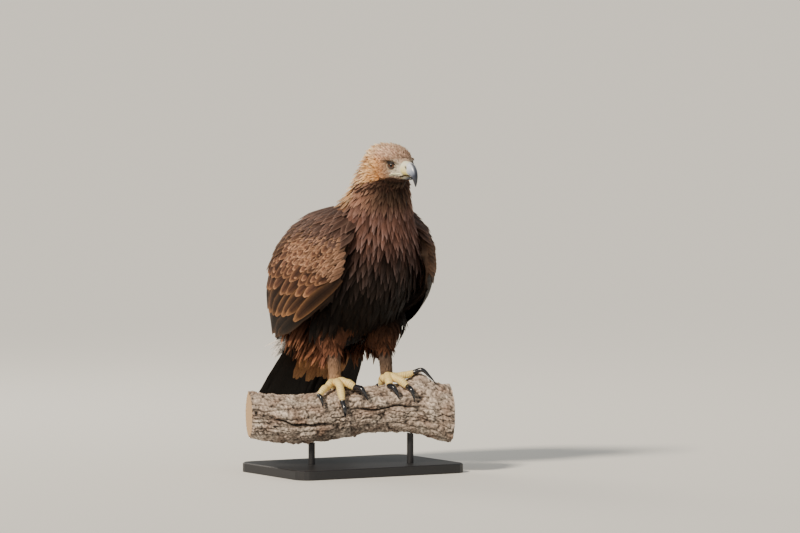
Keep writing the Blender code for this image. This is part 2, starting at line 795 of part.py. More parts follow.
def model_perch():
    """The cut length of branch, with its ridged bark and its knot."""
    rings = []
    first, last = PERCH_ROWS[0][0], PERCH_ROWS[-1][0]
    for step in range(PERCH_RINGS):
        along = first + (last - first) * step / (PERCH_RINGS - 1)
        rings.append([perch_point(along, 360.0 * turn / PERCH_SIDES) for turn in range(PERCH_SIDES)])
    return skin("perch", rings)


# Each toe gives its name, its end along the perch and its wrap angle,
# then the same for the claw tip, and the toe's and claw's thickness.
TOES = {
    1.0: (
        ("hallux", -0.006, -42.0, -0.020, -66.0, 0.0092, 0.0068),
        ("inner", 0.000, 36.0, 0.018, 66.0, 0.0094, 0.0066),
        ("middle", 0.038, 42.0, 0.050, 74.0, 0.0088, 0.0056),
        ("outer", 0.058, 4.0, 0.100, 18.0, 0.0080, 0.0050),
    ),
    -1.0: (
        ("hallux", 0.004, -40.0, 0.010, -84.0, 0.0092, 0.0068),
        ("inner", 0.038, 33.0, 0.062, 66.0, 0.0094, 0.0066),
        ("middle", 0.006, 62.0, 0.012, 96.0, 0.0088, 0.0056),
        ("outer", -0.042, 40.0, -0.034, 66.0, 0.0080, 0.0050),
    ),
}


def toe_path(way, toe, count=7):
    """Points along a toe on the bark, from the middle of the foot to the claw's root."""
    _, reach, wrap, _, _, thick, _ = toe
    points = []
    for step in range(count):
        part = step / (count - 1)
        along = FOOT_REACH * way + reach * part
        hump = 0.0035 * math.sin(math.pi * part)
        lift = thick * (1.15 - 0.30 * part) + 0.004 * (1.0 - part) + hump
        points.append(perch_point(along, wrap * part, lift))
    return points


def model_foot(way):
    """A foot: four padded toes that grip the bark from one short pad."""
    centre = perch_point(FOOT_REACH * way, 0.0, 0.011)
    foot = ball("foot", centre, (0.0160, 0.0165, 0.0115), 7, 10)
    pieces = []
    for toe in TOES[way]:
        points = toe_path(way, toe)
        thick = toe[5]
        radii = [thick * size for size in (1.05, 0.98, 1.02, 0.90, 1.0, 0.86, 0.62)]
        side = (points[-1] - points[0]).cross(Vector((0.0, 0.0, 1.0))).normalized()
        pieces.append(tube("toe", points, radii, 6, side=side))
    return join_pieces(foot, pieces)


def model_claw(way, toe):
    """A curved claw from the toe's tip down to the bark."""
    name, reach, wrap, tip_along, tip_wrap, thick, size = toe
    root = toe_path(way, toe)[-2]
    count = 6
    points = []
    radii = []
    for step in range(count):
        part = step / (count - 1)
        along = FOOT_REACH * way + reach + (tip_along - reach) * part
        angle = wrap + (tip_wrap - wrap) * part
        lift = thick * 0.80 * (1.0 - part) + 0.011 * math.sin(math.pi * part) + 0.0010
        points.append(perch_point(along, angle, lift))
        radii.append(size * (1.0 - 0.86 * part ** 1.1))
    points[0] = points[0].lerp(root, 0.35)
    side = (points[-1] - points[0]).cross(points[count // 2] - points[0]).normalized()
    return tube("claw_" + name, points, radii, 6, side=side)


def model_tarsus(way):
    """The feathered shank from the foot to the heel."""
    foot = leg_place(way)
    top = foot + Vector((0.0, 0.012, HEEL_HEIGHT))
    base = perch_point(FOOT_REACH * way, 0.0, 0.010)
    sizes = (0.92, 0.90, 0.96, 1.05, 1.14)
    points = [base.lerp(top, part / (len(sizes) - 1)) for part in range(len(sizes))]
    return tube("tarsus", points, [TARSUS_RADIUS * size for size in sizes], 10, side=Vector((1, 0, 0)))


def thigh_core(way):
    """The plain form of the feathered thigh, deep from front to back."""
    foot = leg_place(way)
    rings = []
    for height, off, half, deep, back in spread(THIGH_ROWS, 7):
        part = min(max((height - 0.10) / 0.08, 0.0), 1.0)
        centre = foot.lerp(Vector((THIGH_TOP_APART * way, 0.0, 0.0)), part)
        centre += Vector((0.0, off, height))
        rings.append(oval(centre, Vector((1, 0, 0)), Vector((0, 1, 0)), half, back, deep, 12))
    return skin("thigh", rings)


def thigh_locks(way):
    """Loose feathers that hang in rows round the thigh and behind the heel."""
    axis = leg_place(way)

    def place(turn, height, lift):
        angle = math.radians(turn)
        _, off, half, deep, back = read_rows(THIGH_ROWS, height)
        flare = max(0.070 - height, 0.0) * 0.25
        depth = back if math.sin(angle) > 0.0 else deep
        out = Vector((half * math.cos(angle), depth * math.sin(angle), 0.0))
        out *= 1.0 + (lift + flare + LOCK_CLEAR) / out.length
        return axis + out + Vector((0.0, off, height))

    pieces = []
    for row, (root, tip, lifts) in enumerate(LOCK_ROWS):
        for step in range(LOCKS_ROUND):
            turn = 360.0 * (step + 0.5 * (row % 2)) / LOCKS_ROUND
            rear = max(math.sin(math.radians(turn)), 0.0)
            low = tip - LOCK_REAR_DROP * rear + random.uniform(-0.008, 0.006)
            high = root + random.uniform(-0.005, 0.005)
            pieces.append(feather(place, (turn, high), (turn + 4.0, low), LOCK_HALF * (1.0 + 0.35 * rear),
                                  lifts, LOCK_THICK, LOCK))
    return pieces


def model_stand(perch):
    """The flat base and the two short rods under the perch."""
    corners = []
    for cx, cy, start in ((1, 1, 0), (-1, 1, 90), (-1, -1, 180), (1, -1, 270)):
        for step in range(5):
            angle = math.radians(start + 22.5 * step)
            x = cx * (BASE_LENGTH / 2.0 - BASE_CORNER) + BASE_CORNER * math.cos(angle)
            y = cy * (BASE_DEPTH / 2.0 - BASE_CORNER) + BASE_CORNER * math.sin(angle)
            corners.append(Vector((x, y, 0.0)))
    rings = []
    for inset, height in ((0.0, 0.0), (0.0, BASE_THICK - BASE_EDGE), (BASE_EDGE, BASE_THICK)):
        scale = 1.0 - inset * 2.0 / BASE_DEPTH
        rings.append([Vector((p.x * scale, p.y * scale, height)) for p in corners])
    base = skin("stand_base", rings)
    rods = []
    for way in (1.0, -1.0):
        turn = math.radians(PERCH_TURN)
        foot = Vector((math.cos(turn), math.sin(turn), 0.0)) * (ROD_APART * way)
        foot.y += BIRD_SHIFT
        foot.z = BASE_THICK + GAP
        top = foot.copy()
        top.z = PERCH_TOP - 0.085
        rods.append(tube("rod", [foot, top], [ROD_RADIUS] * 2, 18, side=Vector((1, 0, 0))))
        cut_clear(rods[-1], perch)
    return base, rods


def place_bird(items):
    """Move finished pieces from the bird's frame onto the stand."""
    for item in items:
        item.data.transform(Matrix.Translation((0.0, BIRD_SHIFT, PERCH_TOP)))
        item.data.update()


def model_tail():
    """The tail: a root that covers the vent, twelve long feathers and the coverts on both faces."""
    side = Vector((1.0, 0.0, 0.0))
    up = tail_point(0.0, 0.0, 1.0) - tail_point(0.0, 0.0)
    rings = []
    for reach, half, above, below in spread(TAIL_CORE_ROWS, TAIL_CORE_RINGS):
        rings.append(oval(tail_point(reach, 0.0), side, up, half, above, below, TAIL_CORE_SIDES, TAIL_CORE_POWER))
    tail = skin("tail", rings)
    pieces = []
    middle = (TAIL_FEATHERS - 1) / 2.0
    for index in range(TAIL_FEATHERS):
        off = index - middle
        swing = TAIL_HALF_FAN * off / middle
        layer = TAIL_FEATHERS / 2.0 - abs(off)
        if abs(off) < 1.0 and off < 0.0:
            layer -= 1.0
        lift = TAIL_LAYER * (layer - 2.0)
        length = TAIL_LENGTH - 0.010 * (off / middle) ** 2 + random.uniform(-0.002, 0.002)
        pieces.append(feather(tail_place, (swing * 0.7, 0.035), (swing, length), TAIL_FEATHER_HALF,
                              (lift, lift), TAIL_VANE_THICK, QUILL))
    for swings, root, tip, lifts, half in TAIL_COVERTS:
        for swing in swings:
            end = tip + random.uniform(-0.012, 0.006) - 0.012 * (swing / TAIL_HALF_FAN) ** 2
            pieces.append(feather(tail_place, (swing * 0.8, root), (swing, end), half, lifts,
                                  TAIL_VANE_THICK, COVERT))
    return join_pieces(tail, pieces)


def tail_place(swing, reach, lift):
    """A place on the tail for a feather."""
    return tail_point(reach, swing, lift)


def model_wing(way):
    """A folded wing: its arm, and tiers of coverts and flight feathers that overlap down the cloak."""
    pieces = []

    def place(turn, height, lift):
        return cloak(way, turn, height, lift)

    for name, count, first_root, last_root, first_tip, last_tip, half, lifts, shape in WING_TIERS:
        for index in range(count):
            part = index / (count - 1)
            root = [a + (b - a) * part for a, b in zip(first_root, last_root)]
            tip = [a + (b - a) * part for a, b in zip(first_tip, last_tip)]
            tip[1] += random.uniform(-0.003, 0.003)
            size = half * random.uniform(0.94, 1.06)
            drop = tuple(lift + STAGGER * (index % 2) for lift in lifts)
            pieces.append(feather(place, root, tip, size, drop, VANE_THICK, shape))
    return join_pieces(arm_shell(way), pieces)


def main():
    """Build every sub-part and name it."""
    clear_scene()
    random.seed(7)
    group = new_collection("golden_eagle")
    colour = make_materials()

    torso, neck = part_body()
    frame = head_frame()
    head = model_head()
    cere, upper, lower = model_bill()
    eyes = {}
    for way, side in ((1.0, "left"), (-1.0, "right")):
        eyes[side] = ball("eye", mirrored(EYE_PLACE, way), [EYE_RADIUS] * 3, EYE_RINGS, EYE_SIDES)
    cut_clear(cere, head)
    cut_clear(upper, cere)
    cut_clear(lower, head, cere, upper)
    for item in (head, cere, upper, lower, *eyes.values()):
        item.data.transform(frame)
        item.data.update()
    cut_clear(neck, head)
    join_pieces(neck, hackles())
    cut_clear(neck, head, torso)

    perch = model_perch()
    nodes = [(torso, "torso", "dark_plumage"), (neck, "neck", "golden_hackles")]
    nodes += [(head, "head", "golden_hackles"), (cere, "cere", "yellow_skin")]
    nodes += [(upper, "bill_upper", "slate_horn"), (lower, "bill_lower", "slate_horn")]
    nodes += [(eyes["left"], "eye_left", "eye"), (eyes["right"], "eye_right", "eye")]
    nodes.append((perch, "perch", "bark"))

    tail = model_tail()
    cut_clear(tail, torso)
    nodes.append((tail, "tail", "tail_feathers"))
    for way, side in ((1.0, "left"), (-1.0, "right")):
        foot = model_foot(way)
        claws = [model_claw(way, toe) for toe in TOES[way]]
        tarsus = model_tarsus(way)
        cut_clear(foot, perch, tarsus)
        cut_clear(tarsus, perch, torso)
        thigh = join_pieces(thigh_core(way), thigh_locks(way))
        cut_clear(thigh, torso, tarsus)
        for claw in claws:
            cut_clear(claw, foot, perch)
            nodes.append((claw, claw.name.split(".")[0] + "_" + side, "dark_horn"))
        wing = model_wing(way)
        cut_clear(wing, torso, neck, tail)
        nodes.append((foot, "foot_" + side, "yellow_skin"))
        nodes.append((tarsus, "tarsus_" + side, "leg_feathers"))
        nodes.append((thigh, "thigh_" + side, "rufous_trousers"))
        nodes.append((wing, "wing_" + side, "wing_feathers"))
    place_bird([item for item, _, _ in nodes])
    base, rods = model_stand(perch)
    nodes.append((base, "stand_base", "dark_stand"))
    nodes.append((rods[0], "stand_rod_left", "dark_stand"))
    nodes.append((rods[1], "stand_rod_right", "dark_stand"))
    for item, name, material in nodes:
        finish_node(item, name, colour[material], group)


main()
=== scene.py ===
import json
import math

import bpy
import numpy as np
from mathutils import Matrix, Vector, kdtree, noise
from mathutils.bvhtree import BVHTree

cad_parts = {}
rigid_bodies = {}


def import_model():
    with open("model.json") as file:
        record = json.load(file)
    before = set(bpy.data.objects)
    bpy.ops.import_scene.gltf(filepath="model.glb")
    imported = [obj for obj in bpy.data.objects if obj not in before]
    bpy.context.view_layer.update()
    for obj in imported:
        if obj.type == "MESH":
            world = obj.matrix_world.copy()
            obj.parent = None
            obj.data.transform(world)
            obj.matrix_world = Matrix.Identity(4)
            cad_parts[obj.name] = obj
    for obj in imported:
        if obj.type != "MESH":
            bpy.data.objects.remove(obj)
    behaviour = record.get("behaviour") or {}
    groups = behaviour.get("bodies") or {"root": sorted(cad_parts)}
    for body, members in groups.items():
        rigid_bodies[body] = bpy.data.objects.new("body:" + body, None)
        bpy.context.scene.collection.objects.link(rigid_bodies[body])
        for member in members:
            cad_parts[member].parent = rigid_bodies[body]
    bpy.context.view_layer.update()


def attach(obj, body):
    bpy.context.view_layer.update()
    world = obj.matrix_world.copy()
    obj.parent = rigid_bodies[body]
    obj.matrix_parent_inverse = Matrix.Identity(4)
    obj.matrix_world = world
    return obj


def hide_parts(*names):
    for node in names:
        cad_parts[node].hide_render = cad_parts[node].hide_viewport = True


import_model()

# A life-size golden eagle that grips a short branch on a plain stand.
# The bird faces -Y. Its own frame starts between its feet, on top of the branch.
PERCH_TOP = 0.190
BIRD_SHIFT = -0.035
SHIFT = Vector((0.0, BIRD_SHIFT, PERCH_TOP))
X_AXIS = Vector((1.0, 0.0, 0.0))
Y_AXIS = Vector((0.0, 1.0, 0.0))
Z_AXIS = Vector((0.0, 0.0, 1.0))
WAYS = (1.0, -1.0)                   # the bird's left and right, as signs of x
SIDES = ((1.0, "left"), (-1.0, "right"))

# ---------------------------------------------------------------- view and light
CAMERA_TURN = -30.0
CAMERA_RISE = 3.0
CAMERA_FAR = 12.0
CAMERA_SIGHT = 3000.0                # sees past the far edge of the floor
SENSOR_WIDTH = 36.0                  # millimetres
METRES_PER_PIXEL = 0.0021
FEET_PIXEL = (361.0, 383.0)
IMAGE = (800.0, 533.0)
# Each light gives its name, kind, place, size (the sun's is an angle), power and colour.
LIGHTS = (
    ("key", "SUN", (-2.3, -0.9, 2.3), math.radians(9.0), 4.6, "#FFF0DA"),
    ("rim", "AREA", (-0.4, 2.6, 2.4), 1.4, 34.0, "#FFF4E4"),
)
LIGHT_AIM = Vector((0.0, 0.0, 0.4))
ROOM_COLOUR = "#E9EBE9"
ROOM_STRENGTH = 0.46


def set_camera():
    """A long lens at the photo's height, a little to the bird's right."""
    turn, rise = math.radians(CAMERA_TURN), math.radians(CAMERA_RISE)
    back = Vector((math.sin(turn) * math.cos(rise), -math.cos(turn) * math.cos(rise), math.sin(rise)))
    right = Vector((math.cos(turn), math.sin(turn), 0.0))
    up = back.cross(right)
    target = SHIFT + right * ((IMAGE[0] / 2.0 - FEET_PIXEL[0]) * METRES_PER_PIXEL)
    target += up * ((FEET_PIXEL[1] - IMAGE[1] / 2.0) * METRES_PER_PIXEL)
    data = bpy.data.cameras.new("camera")
    data.sensor_width = SENSOR_WIDTH
    data.lens = SENSOR_WIDTH * CAMERA_FAR / (IMAGE[0] * METRES_PER_PIXEL)
    data.clip_end = CAMERA_SIGHT
    camera = bpy.data.objects.new("camera", data)
    bpy.context.scene.collection.objects.link(camera)
    camera.location = target + back * CAMERA_FAR
    camera.rotation_mode = "QUATERNION"
    camera.rotation_quaternion = (-back).to_track_quat("-Z", "Y")
    bpy.context.scene.camera = camera


def srgb(code):
    """An sRGB hex colour as linear numbers."""
    parts = [int(code[start:start + 2], 16) / 255.0 for start in (1, 3, 5)]
    return np.array([part / 12.92 if part <= 0.04045 else ((part + 0.055) / 1.055) ** 2.4 for part in parts])


def set_light():
    """A soft sun from the picture's upper left, a rim light from behind and a pale room."""
    for name, kind, place, size, power, colour in LIGHTS:
        data = bpy.data.lights.new(name, kind)
        setattr(data, "angle" if kind == "SUN" else "size", size)
        data.energy = power
        data.color = srgb(colour)
        lamp = bpy.data.objects.new(name, data)
        bpy.context.scene.collection.objects.link(lamp)
        lamp.location = place
        lamp.rotation_euler = (LIGHT_AIM - lamp.location).to_track_quat("-Z", "Y").to_euler()
    world = bpy.data.worlds.new("room")
    world.use_nodes = True
    background = world.node_tree.nodes["Background"]
    background.inputs["Color"].default_value = (*srgb(ROOM_COLOUR), 1.0)
    background.inputs["Strength"].default_value = ROOM_STRENGTH
    bpy.context.scene.world = world


# ---------------------------------------------------------------- materials
def add(tree, kind, settings=(), links=(), stops=()):
    """One node, with its settings, the sockets that feed it and the hex colours along it, if any."""
    node = tree.nodes.new(kind)
    for key, value in dict(settings).items():
        if isinstance(key, str) and hasattr(node, key):
            setattr(node, key, value)
        else:
            node.inputs[key].default_value = value
    for key, source in dict(links).items():
        tree.links.new(source, node.inputs[key])
    for index, (place, code) in enumerate(stops):
        element = node.color_ramp.elements[index] if index < 2 else node.color_ramp.elements.new(place)
        element.position = place
        element.color = (*srgb(code), 1.0)
    return node


def new_material(name, **sockets):
    """A material whose uniform values sit on the shader's own sockets."""
    material = bpy.data.materials.new(name)
    material.use_nodes = True
    shader = material.node_tree.nodes["Principled BSDF"]
    for key, value in sockets.items():
        shader.inputs[key.replace("_", " ")].default_value = value
    return material, material.node_tree, shader


def per_metre(millimetres):
    """How often a pattern of that size comes in a metre, which is what a noise texture takes."""
    return 1000.0 / millimetres


def colour_and_raise(tree, shader, share, height, strength, depth):
    """Give a shader the mesh's own tint, times a share, and let a height raise its surface."""
    tint = add(tree, "ShaderNodeAttribute", {"attribute_name": "tint"}).outputs["Color"]
    colour = add(tree, "ShaderNodeVectorMath", {"operation": "SCALE"}, {0: tint, "Scale": share}).outputs[0]
    tree.links.new(colour, shader.inputs["Base Color"])
    bump = add(tree, "ShaderNodeBump", {"Strength": strength, "Distance": depth}, {"Height": height})
    tree.links.new(bump.outputs["Normal"], shader.inputs["Normal"])


# Keratin bends light much as the shader's own IOR of 1.5 does, but a vane is a comb of barbs with air between
# them, so it gives back far less of a gleam than solid horn.
VANE_GLEAM = 0.09
VANE_MOTTLE = 4.545                  # millimetres: dusty patches where the barbs have parted
BARB_SLANT = -0.55                   # how far a barb leans to the tip on its way to the edge
BARB_WANDER = 7.0
BARB_RELIEF = 0.0006
SHAFT_EDGE = (0.012, 0.045)          # where the dark shaft ends, across the vane
# Real barbs lie about 0.4 mm apart. That is too fine to show at 2.1 mm for a pixel, so each streak is drawn as a
# bunch of barbs. Each plumage gives its roughness, a vane's usual length and the width of a bunch, both in
# millimetres, and how strongly the bunches show.
PLUMAGE = {
    # Short vanes set close: an even matt nap with a faint streak.
    "contour feather, short and golden": (0.62, 12.0, 2.4, 0.18),
    # Narrow, stiff and pointed: each one catches the light down its length.
    "hackle, long and pointed": (0.58, 36.0, 3.0, 0.30),
    # Broad and firm, with hooked barbs: a low gleam on dark brown.
    "contour feather, dark brown": (0.55, 55.0, 2.5, 0.30),
    # Few hooks, so the barbs part: dull and a little shaggy.
    "trouser feather, loose and rufous": (0.66, 42.0, 3.0, 0.30),
    # Looser still: open strands with hardly any gleam.
    "flank feather, loose": (0.70, 70.0, 5.0, 0.30),
    # No hooks at all: wholly matt wool.
    "down, loose and pale grey": (0.80, 60.0, 12.0, 0.15),
    # Hair-like and tight to the leg: a dull felt.
    "shank feather, short and dense": (0.70, 12.5, 2.5, 0.20),
    # Flat and firm, worn pale at the rim: the tiers read as rows of scales.
    "wing covert, brown with pale rim": (0.55, 91.0, 3.5, 0.22),
    # The stiffest and smoothest vanes: a silky gleam on near black.
    "tail feather, near black": (0.50, 288.0, 4.8, 0.20),
    # Soft and open: it glows rufous and hardly gleams.
    "undertail covert, rufous and soft": (0.66, 88.0, 5.5, 0.30),
}


def feather_material(name):
    """Keratin vane: barbs run off the shaft to each edge, so the light breaks into fine slanting streaks."""
    roughness, length, bunch, depth = PLUMAGE[name]
    material, tree, shader = new_material(name, Roughness=roughness, Specular_IOR_Level=VANE_GLEAM)
    place = add(tree, "ShaderNodeUVMap", {"uv_map": "vane"}).outputs["UV"]
    axes = add(tree, "ShaderNodeSeparateXYZ", links={0: place})
    off = add(tree, "ShaderNodeMath", {"operation": "SUBTRACT", 1: 0.5}, {0: axes.outputs["X"]}).outputs[0]
    side = add(tree, "ShaderNodeMath", {"operation": "ABSOLUTE"}, {0: off}).outputs[0]
    slant = add(tree, "ShaderNodeMath", {"operation": "MULTIPLY_ADD", 1: BARB_SLANT},
                {0: side, 2: axes.outputs["Y"]}).outputs[0]
    wave = add(tree, "ShaderNodeMath", {"operation": "MULTIPLY", 1: length / bunch * 2.0 * math.pi},
               {0: slant}).outputs[0]
    coords = add(tree, "ShaderNodeTexCoord").outputs["Object"]
    mottle = add(tree, "ShaderNodeTexNoise", {"Scale": per_metre(VANE_MOTTLE), "Detail": 3.0, "Roughness": 0.6},
                 {"Vector": coords}).outputs["Fac"]
    drift = add(tree, "ShaderNodeMath", {"operation": "MULTIPLY_ADD", 1: BARB_WANDER}, {0: mottle, 2: wave})
    barb = add(tree, "ShaderNodeMath", {"operation": "SINE"}, {0: drift.outputs[0]}).outputs[0]
    shade = add(tree, "ShaderNodeMapRange", {"From Min": -1.0, "To Min": 1.0 - depth, "To Max": 1.0 + 0.35 * depth},
                {"Value": barb}).outputs["Result"]
    grain = add(tree, "ShaderNodeMapRange", {"From Min": 0.3, "From Max": 0.7, "To Min": 0.82, "To Max": 1.12},
                {"Value": mottle}).outputs["Result"]
    both = add(tree, "ShaderNodeMath", {"operation": "MULTIPLY"}, {0: shade, 1: grain}).outputs[0]
    shaft = add(tree, "ShaderNodeMapRange",
                {"From Min": SHAFT_EDGE[0], "From Max": SHAFT_EDGE[1], "To Min": 0.55, "To Max": 1.0},
                {"Value": side}).outputs["Result"]
    full = add(tree, "ShaderNodeMath", {"operation": "MULTIPLY"}, {0: both, 1: shaft}).outputs[0]
    colour_and_raise(tree, shader, full, barb, 0.35, BARB_RELIEF)
    return material


# Each surface has its broad colour on the mesh. It gives its roughness, the size of its grain in millimetres,
# how strongly the grain shows, the depth of its relief in metres, and other values of its shader.
SURFACES = {
    # Dead cork that sun and rain have dried: wholly matt, crumbly and flecked.
    "cork oak bark, weathered": (0.93, 2.381, 0.38, 0.0016, {}),
    # Bare, thin and slightly moist, in fine folds: a soft broken gleam.
    "eyelid skin, bare": (0.50, 1.111, 0.25, 0.0002, {}),
    # A wet clear dome over a fibrous iris: one small sharp highlight.
    "eye, clear over an amber iris": (0.14, 1.111, 0.10, 0.0001,
                                      {"Coat_Weight": 0.12, "Coat_Roughness": 0.05, "Specular_IOR_Level": 0.25}),
    # Taut skin with a waxy surface: light goes in a little way, and the gleam is soft.
    "cere, waxy skin": (0.38, 1.4286, 0.08, 0.0003, {"Subsurface_Weight": 0.12}),
    # Horn that bark and food have rubbed smooth: clear highlights along its curve.
    "bill horn, polished by use": (0.26, 2.0, 0.10, 0.0002, {"Coat_Weight": 0.25, "Coat_Roughness": 0.15}),
    # The fleshy edge of the mouth: smooth, and lit a little from within.
    "gape flange, soft and pale yellow": (0.42, 1.25, 0.10, 0.0002, {"Subsurface_Weight": 0.15}),
    # The closed gap between the bills: it gives back hardly any light.
    "mouth line, in shade": (0.70, 2.0, 0.10, 0.0001, {}),
    # Hard plates over soft toes: a waxy gleam on each plate.
    "toe scales, waxy yellow": (0.46, 1.5385, 0.14, 0.0006, {"Subsurface_Weight": 0.08}),
    # Dense black horn, polished by use: narrow bright highlights.
    "claw horn, glossy black": (0.20, 2.5, 0.20, 0.0002, {"Coat_Weight": 0.30, "Coat_Roughness": 0.12}),
    # Seen only in the gaps between feathers: dull and dark.
    "bird skin under down": (0.80, 3.3333, 0.12, 0.0004, {}),
}


def tinted_material(name):
    """A natural surface whose broad colour is on the mesh, with fine mottling and relief."""
    roughness, grain, mottle, relief, more = SURFACES[name]
    material, tree, shader = new_material(name, Roughness=roughness, **more)
    coords = add(tree, "ShaderNodeTexCoord").outputs["Object"]
    fine = add(tree, "ShaderNodeTexNoise", {"Scale": per_metre(grain), "Detail": 5.0, "Roughness": 0.65},
               {"Vector": coords}).outputs["Fac"]
    shade = add(tree, "ShaderNodeMapRange",
                {"From Min": 0.25, "From Max": 0.75, "To Min": 1.0 - mottle, "To Max": 1.0 + mottle},
                {"Value": fine}).outputs["Result"]
    colour_and_raise(tree, shader, shade, fine, 0.5, relief)
    return material


# ---------------------------------------------------------------- shapes from rows
def dense(rows, count=400):
    """The rows on one smooth curve, as a table with the place in its first column."""
    rows = np.array(rows, float)
    last = len(rows) - 1
    table = []
    for place in np.linspace(0.0, last, count):
        index = min(int(place), last - 1)
        part = place - index
        a, b = rows[max(index - 1, 0)], rows[index]
        c, d = rows[index + 1], rows[min(index + 2, last)]
        bend = 2.0 * b + (c - a) * part + (2.0 * a - 5.0 * b + 4.0 * c - d) * part ** 2
        table.append([place, *(0.5 * (bend + (3.0 * b - a - 3.0 * c + d) * part ** 3))])
    return np.array(table)


def read(table, key, column=0):
    """The table's other columns where the key column has that value."""
    order = np.argsort(table[:, column])
    return [np.interp(key, table[order, column], table[order, index])
            for index in range(table.shape[1]) if index != column]


def oval(centre, side, up, half, above, below, count, power=2.0):
    """A ring of points with its own height above and depth below."""
    ring = []
    for step in range(count):
        angle = 2.0 * math.pi * step / count
        across = math.copysign(abs(math.cos(angle)) ** (2.0 / power), math.cos(angle))
        rise = math.copysign(abs(math.sin(angle)) ** (2.0 / power), math.sin(angle))
        ring.append(centre + side * (half * across) + up * ((above if rise > 0.0 else below) * rise))
    return ring


def mesh_piece(name, points, faces, shift=SHIFT):
    """A smooth mesh object from points in the bird's frame."""
    if not isinstance(points, np.ndarray):
        points = np.asarray([tuple(point) for point in points], float)
    mesh = bpy.data.meshes.new(name)
    if isinstance(faces, np.ndarray):
        mesh.vertices.add(len(points))
        mesh.vertices.foreach_set("co", (points + np.array(shift)).astype(np.float32).ravel())
        mesh.loops.add(faces.size)
        mesh.loops.foreach_set("vertex_index", faces.astype(np.int32).ravel())
        mesh.polygons.add(len(faces))
        mesh.polygons.foreach_set("loop_start", np.arange(0, faces.size, faces.shape[1], dtype=np.int32))
        mesh.update(calc_edges=True)
    else:
        mesh.from_pydata((points + np.array(shift)).tolist(), [], faces)
    mesh.polygons.foreach_set("use_smooth", np.ones(len(mesh.polygons), dtype=bool))
    made = bpy.data.objects.new(name, mesh)
    bpy.context.scene.collection.objects.link(made)
    return made


def loft(rings):
    """Points and faces through rings, closed at both ends."""
    count = len(rings[0])
    points = [point for ring in rings for point in ring]
    faces = []
    for row in range(len(rings) - 1):
        low, high = row * count, (row + 1) * count
        for step in range(count):
            after = (step + 1) % count
            faces.append((low + step, low + after, high + after, high + step))
    for row, way in ((0, -1), (len(rings) - 1, 1)):
        ring = rings[row]
        points.append(sum((Vector(point) for point in ring), Vector()) / count)
        middle = len(points) - 1
        for step in range(count):
            pair = (row * count + step, row * count + (step + 1) % count)
            faces.append((middle, *pair[::way]))
    return points, faces


def joined(pairs):
    """Several point and face lists as one."""
    points, faces = [], []
    for more_points, more_faces in pairs:
        start = len(points)
        points += [Vector(point) for point in more_points]
        faces += [tuple(index + start for index in face) for face in more_faces]
    return points, faces


def baked(item):
    """The piece with its modifiers applied."""
    bpy.context.view_layer.update()
    depsgraph = bpy.context.evaluated_depsgraph_get()
    mesh = bpy.data.meshes.new_from_object(item.evaluated_get(depsgraph), depsgraph=depsgraph)
    item.modifiers.clear()
    item.data = mesh
    return item


def corners(item):
    """The piece's points as an array, in the bird's frame."""
    points = np.empty(len(item.data.vertices) * 3, np.float32)
    item.data.vertices.foreach_get("co", points)
    return points.reshape(-1, 3).astype(float) - np.array(SHIFT)


def paint(item, colours):
    """Put one colour on each point of the piece."""
    layer = item.data.color_attributes.new("tint", "FLOAT_COLOR", "POINT")
    full = np.ones((len(item.data.vertices), 4), np.float32)
    full[:, :3] = colours
    layer.data.foreach_set("color", full.ravel())


def finish_piece(item, material, slot, *nodes):
    """Dress a piece, let it ride on the body and hide the model's parts that it stands for."""
    item.data.materials.clear()
    item.data.materials.append(material)
    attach(item, "root")
    if nodes:
        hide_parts(*nodes)
    return item


def blend_colours(stops, place):
    """Colours between stops of place and hex colour."""
    places = [stop[0] for stop in stops]
    colours = np.array([srgb(stop[1]) for stop in stops])
    return np.stack([np.interp(place, places, colours[:, channel]) for channel in range(3)], -1)


def washed(base, *washes):
    """The base colour with others laid over it in turn, each as a share from 0 to 1 and a colour."""
    base = srgb(base) if isinstance(base, str) else base
    for share, other in washes:
        share = share[:, None] if share.ndim == 1 else share
        base = base * (1.0 - share) + (srgb(other) if isinstance(other, str) else other) * share
    return base


def smooth_step(value, low, high):
    """0 below low, 1 above high and a smooth rise between."""
    part = np.clip((value - low) / (high - low), 0.0, 1.0)
    return part * part * (3.0 - 2.0 * part)


# ---------------------------------------------------------------- the bird's form
# Each body row gives y, z, half width, back depth and breast depth, from the tail root to the neck.
BODY_ROWS = (
    (0.128, 0.100, 0.042, 0.022, 0.024),
    (0.105, 0.115, 0.064, 0.042, 0.042),
    (0.070, 0.145, 0.084, 0.078, 0.070),
    (0.030, 0.190, 0.100, 0.106, 0.094),
    (-0.008, 0.240, 0.108, 0.118, 0.106),
    (-0.036, 0.290, 0.103, 0.116, 0.104),
    (-0.055, 0.335, 0.092, 0.094, 0.092),
    (-0.070, 0.372, 0.078, 0.070, 0.078),
    (-0.083, 0.405, 0.065, 0.051, 0.066),
    (-0.094, 0.438, 0.056, 0.044, 0.052),
    (-0.102, 0.468, 0.044, 0.036, 0.036),
    (-0.108, 0.486, 0.026, 0.024, 0.020),
)
HEAD_CENTRE = Vector((0.003, -0.125, 0.464))
HEAD_TURN = 3.0
# Each head row gives the distance forward, half width, height above and depth below.
HEAD_ROWS = (
    (-0.062, 0.012, 0.012, 0.014),
    (-0.057, 0.025, 0.026, 0.030),
    (-0.036, 0.0375, 0.0365, 0.044),
    (-0.006, 0.0395, 0.0390, 0.046),
    (0.020, 0.0355, 0.0360, 0.042),
    (0.036, 0.0285, 0.0285, 0.040),
    (0.046, 0.0210, 0.0195, 0.036),
    (0.053, 0.0145, 0.010, 0.0300),
)
EYE_PLACE = Vector((0.0335, 0.0210, -0.002))
EYE_RADIUS = 0.0095
EYE_LOOK = (0.85, 1.0, 0.04)
GAPE_CORNER = Vector((0.0300, 0.0255, -0.0235))
GAPE_FRONT = Vector((0.0585, 0.0125, -0.0215))
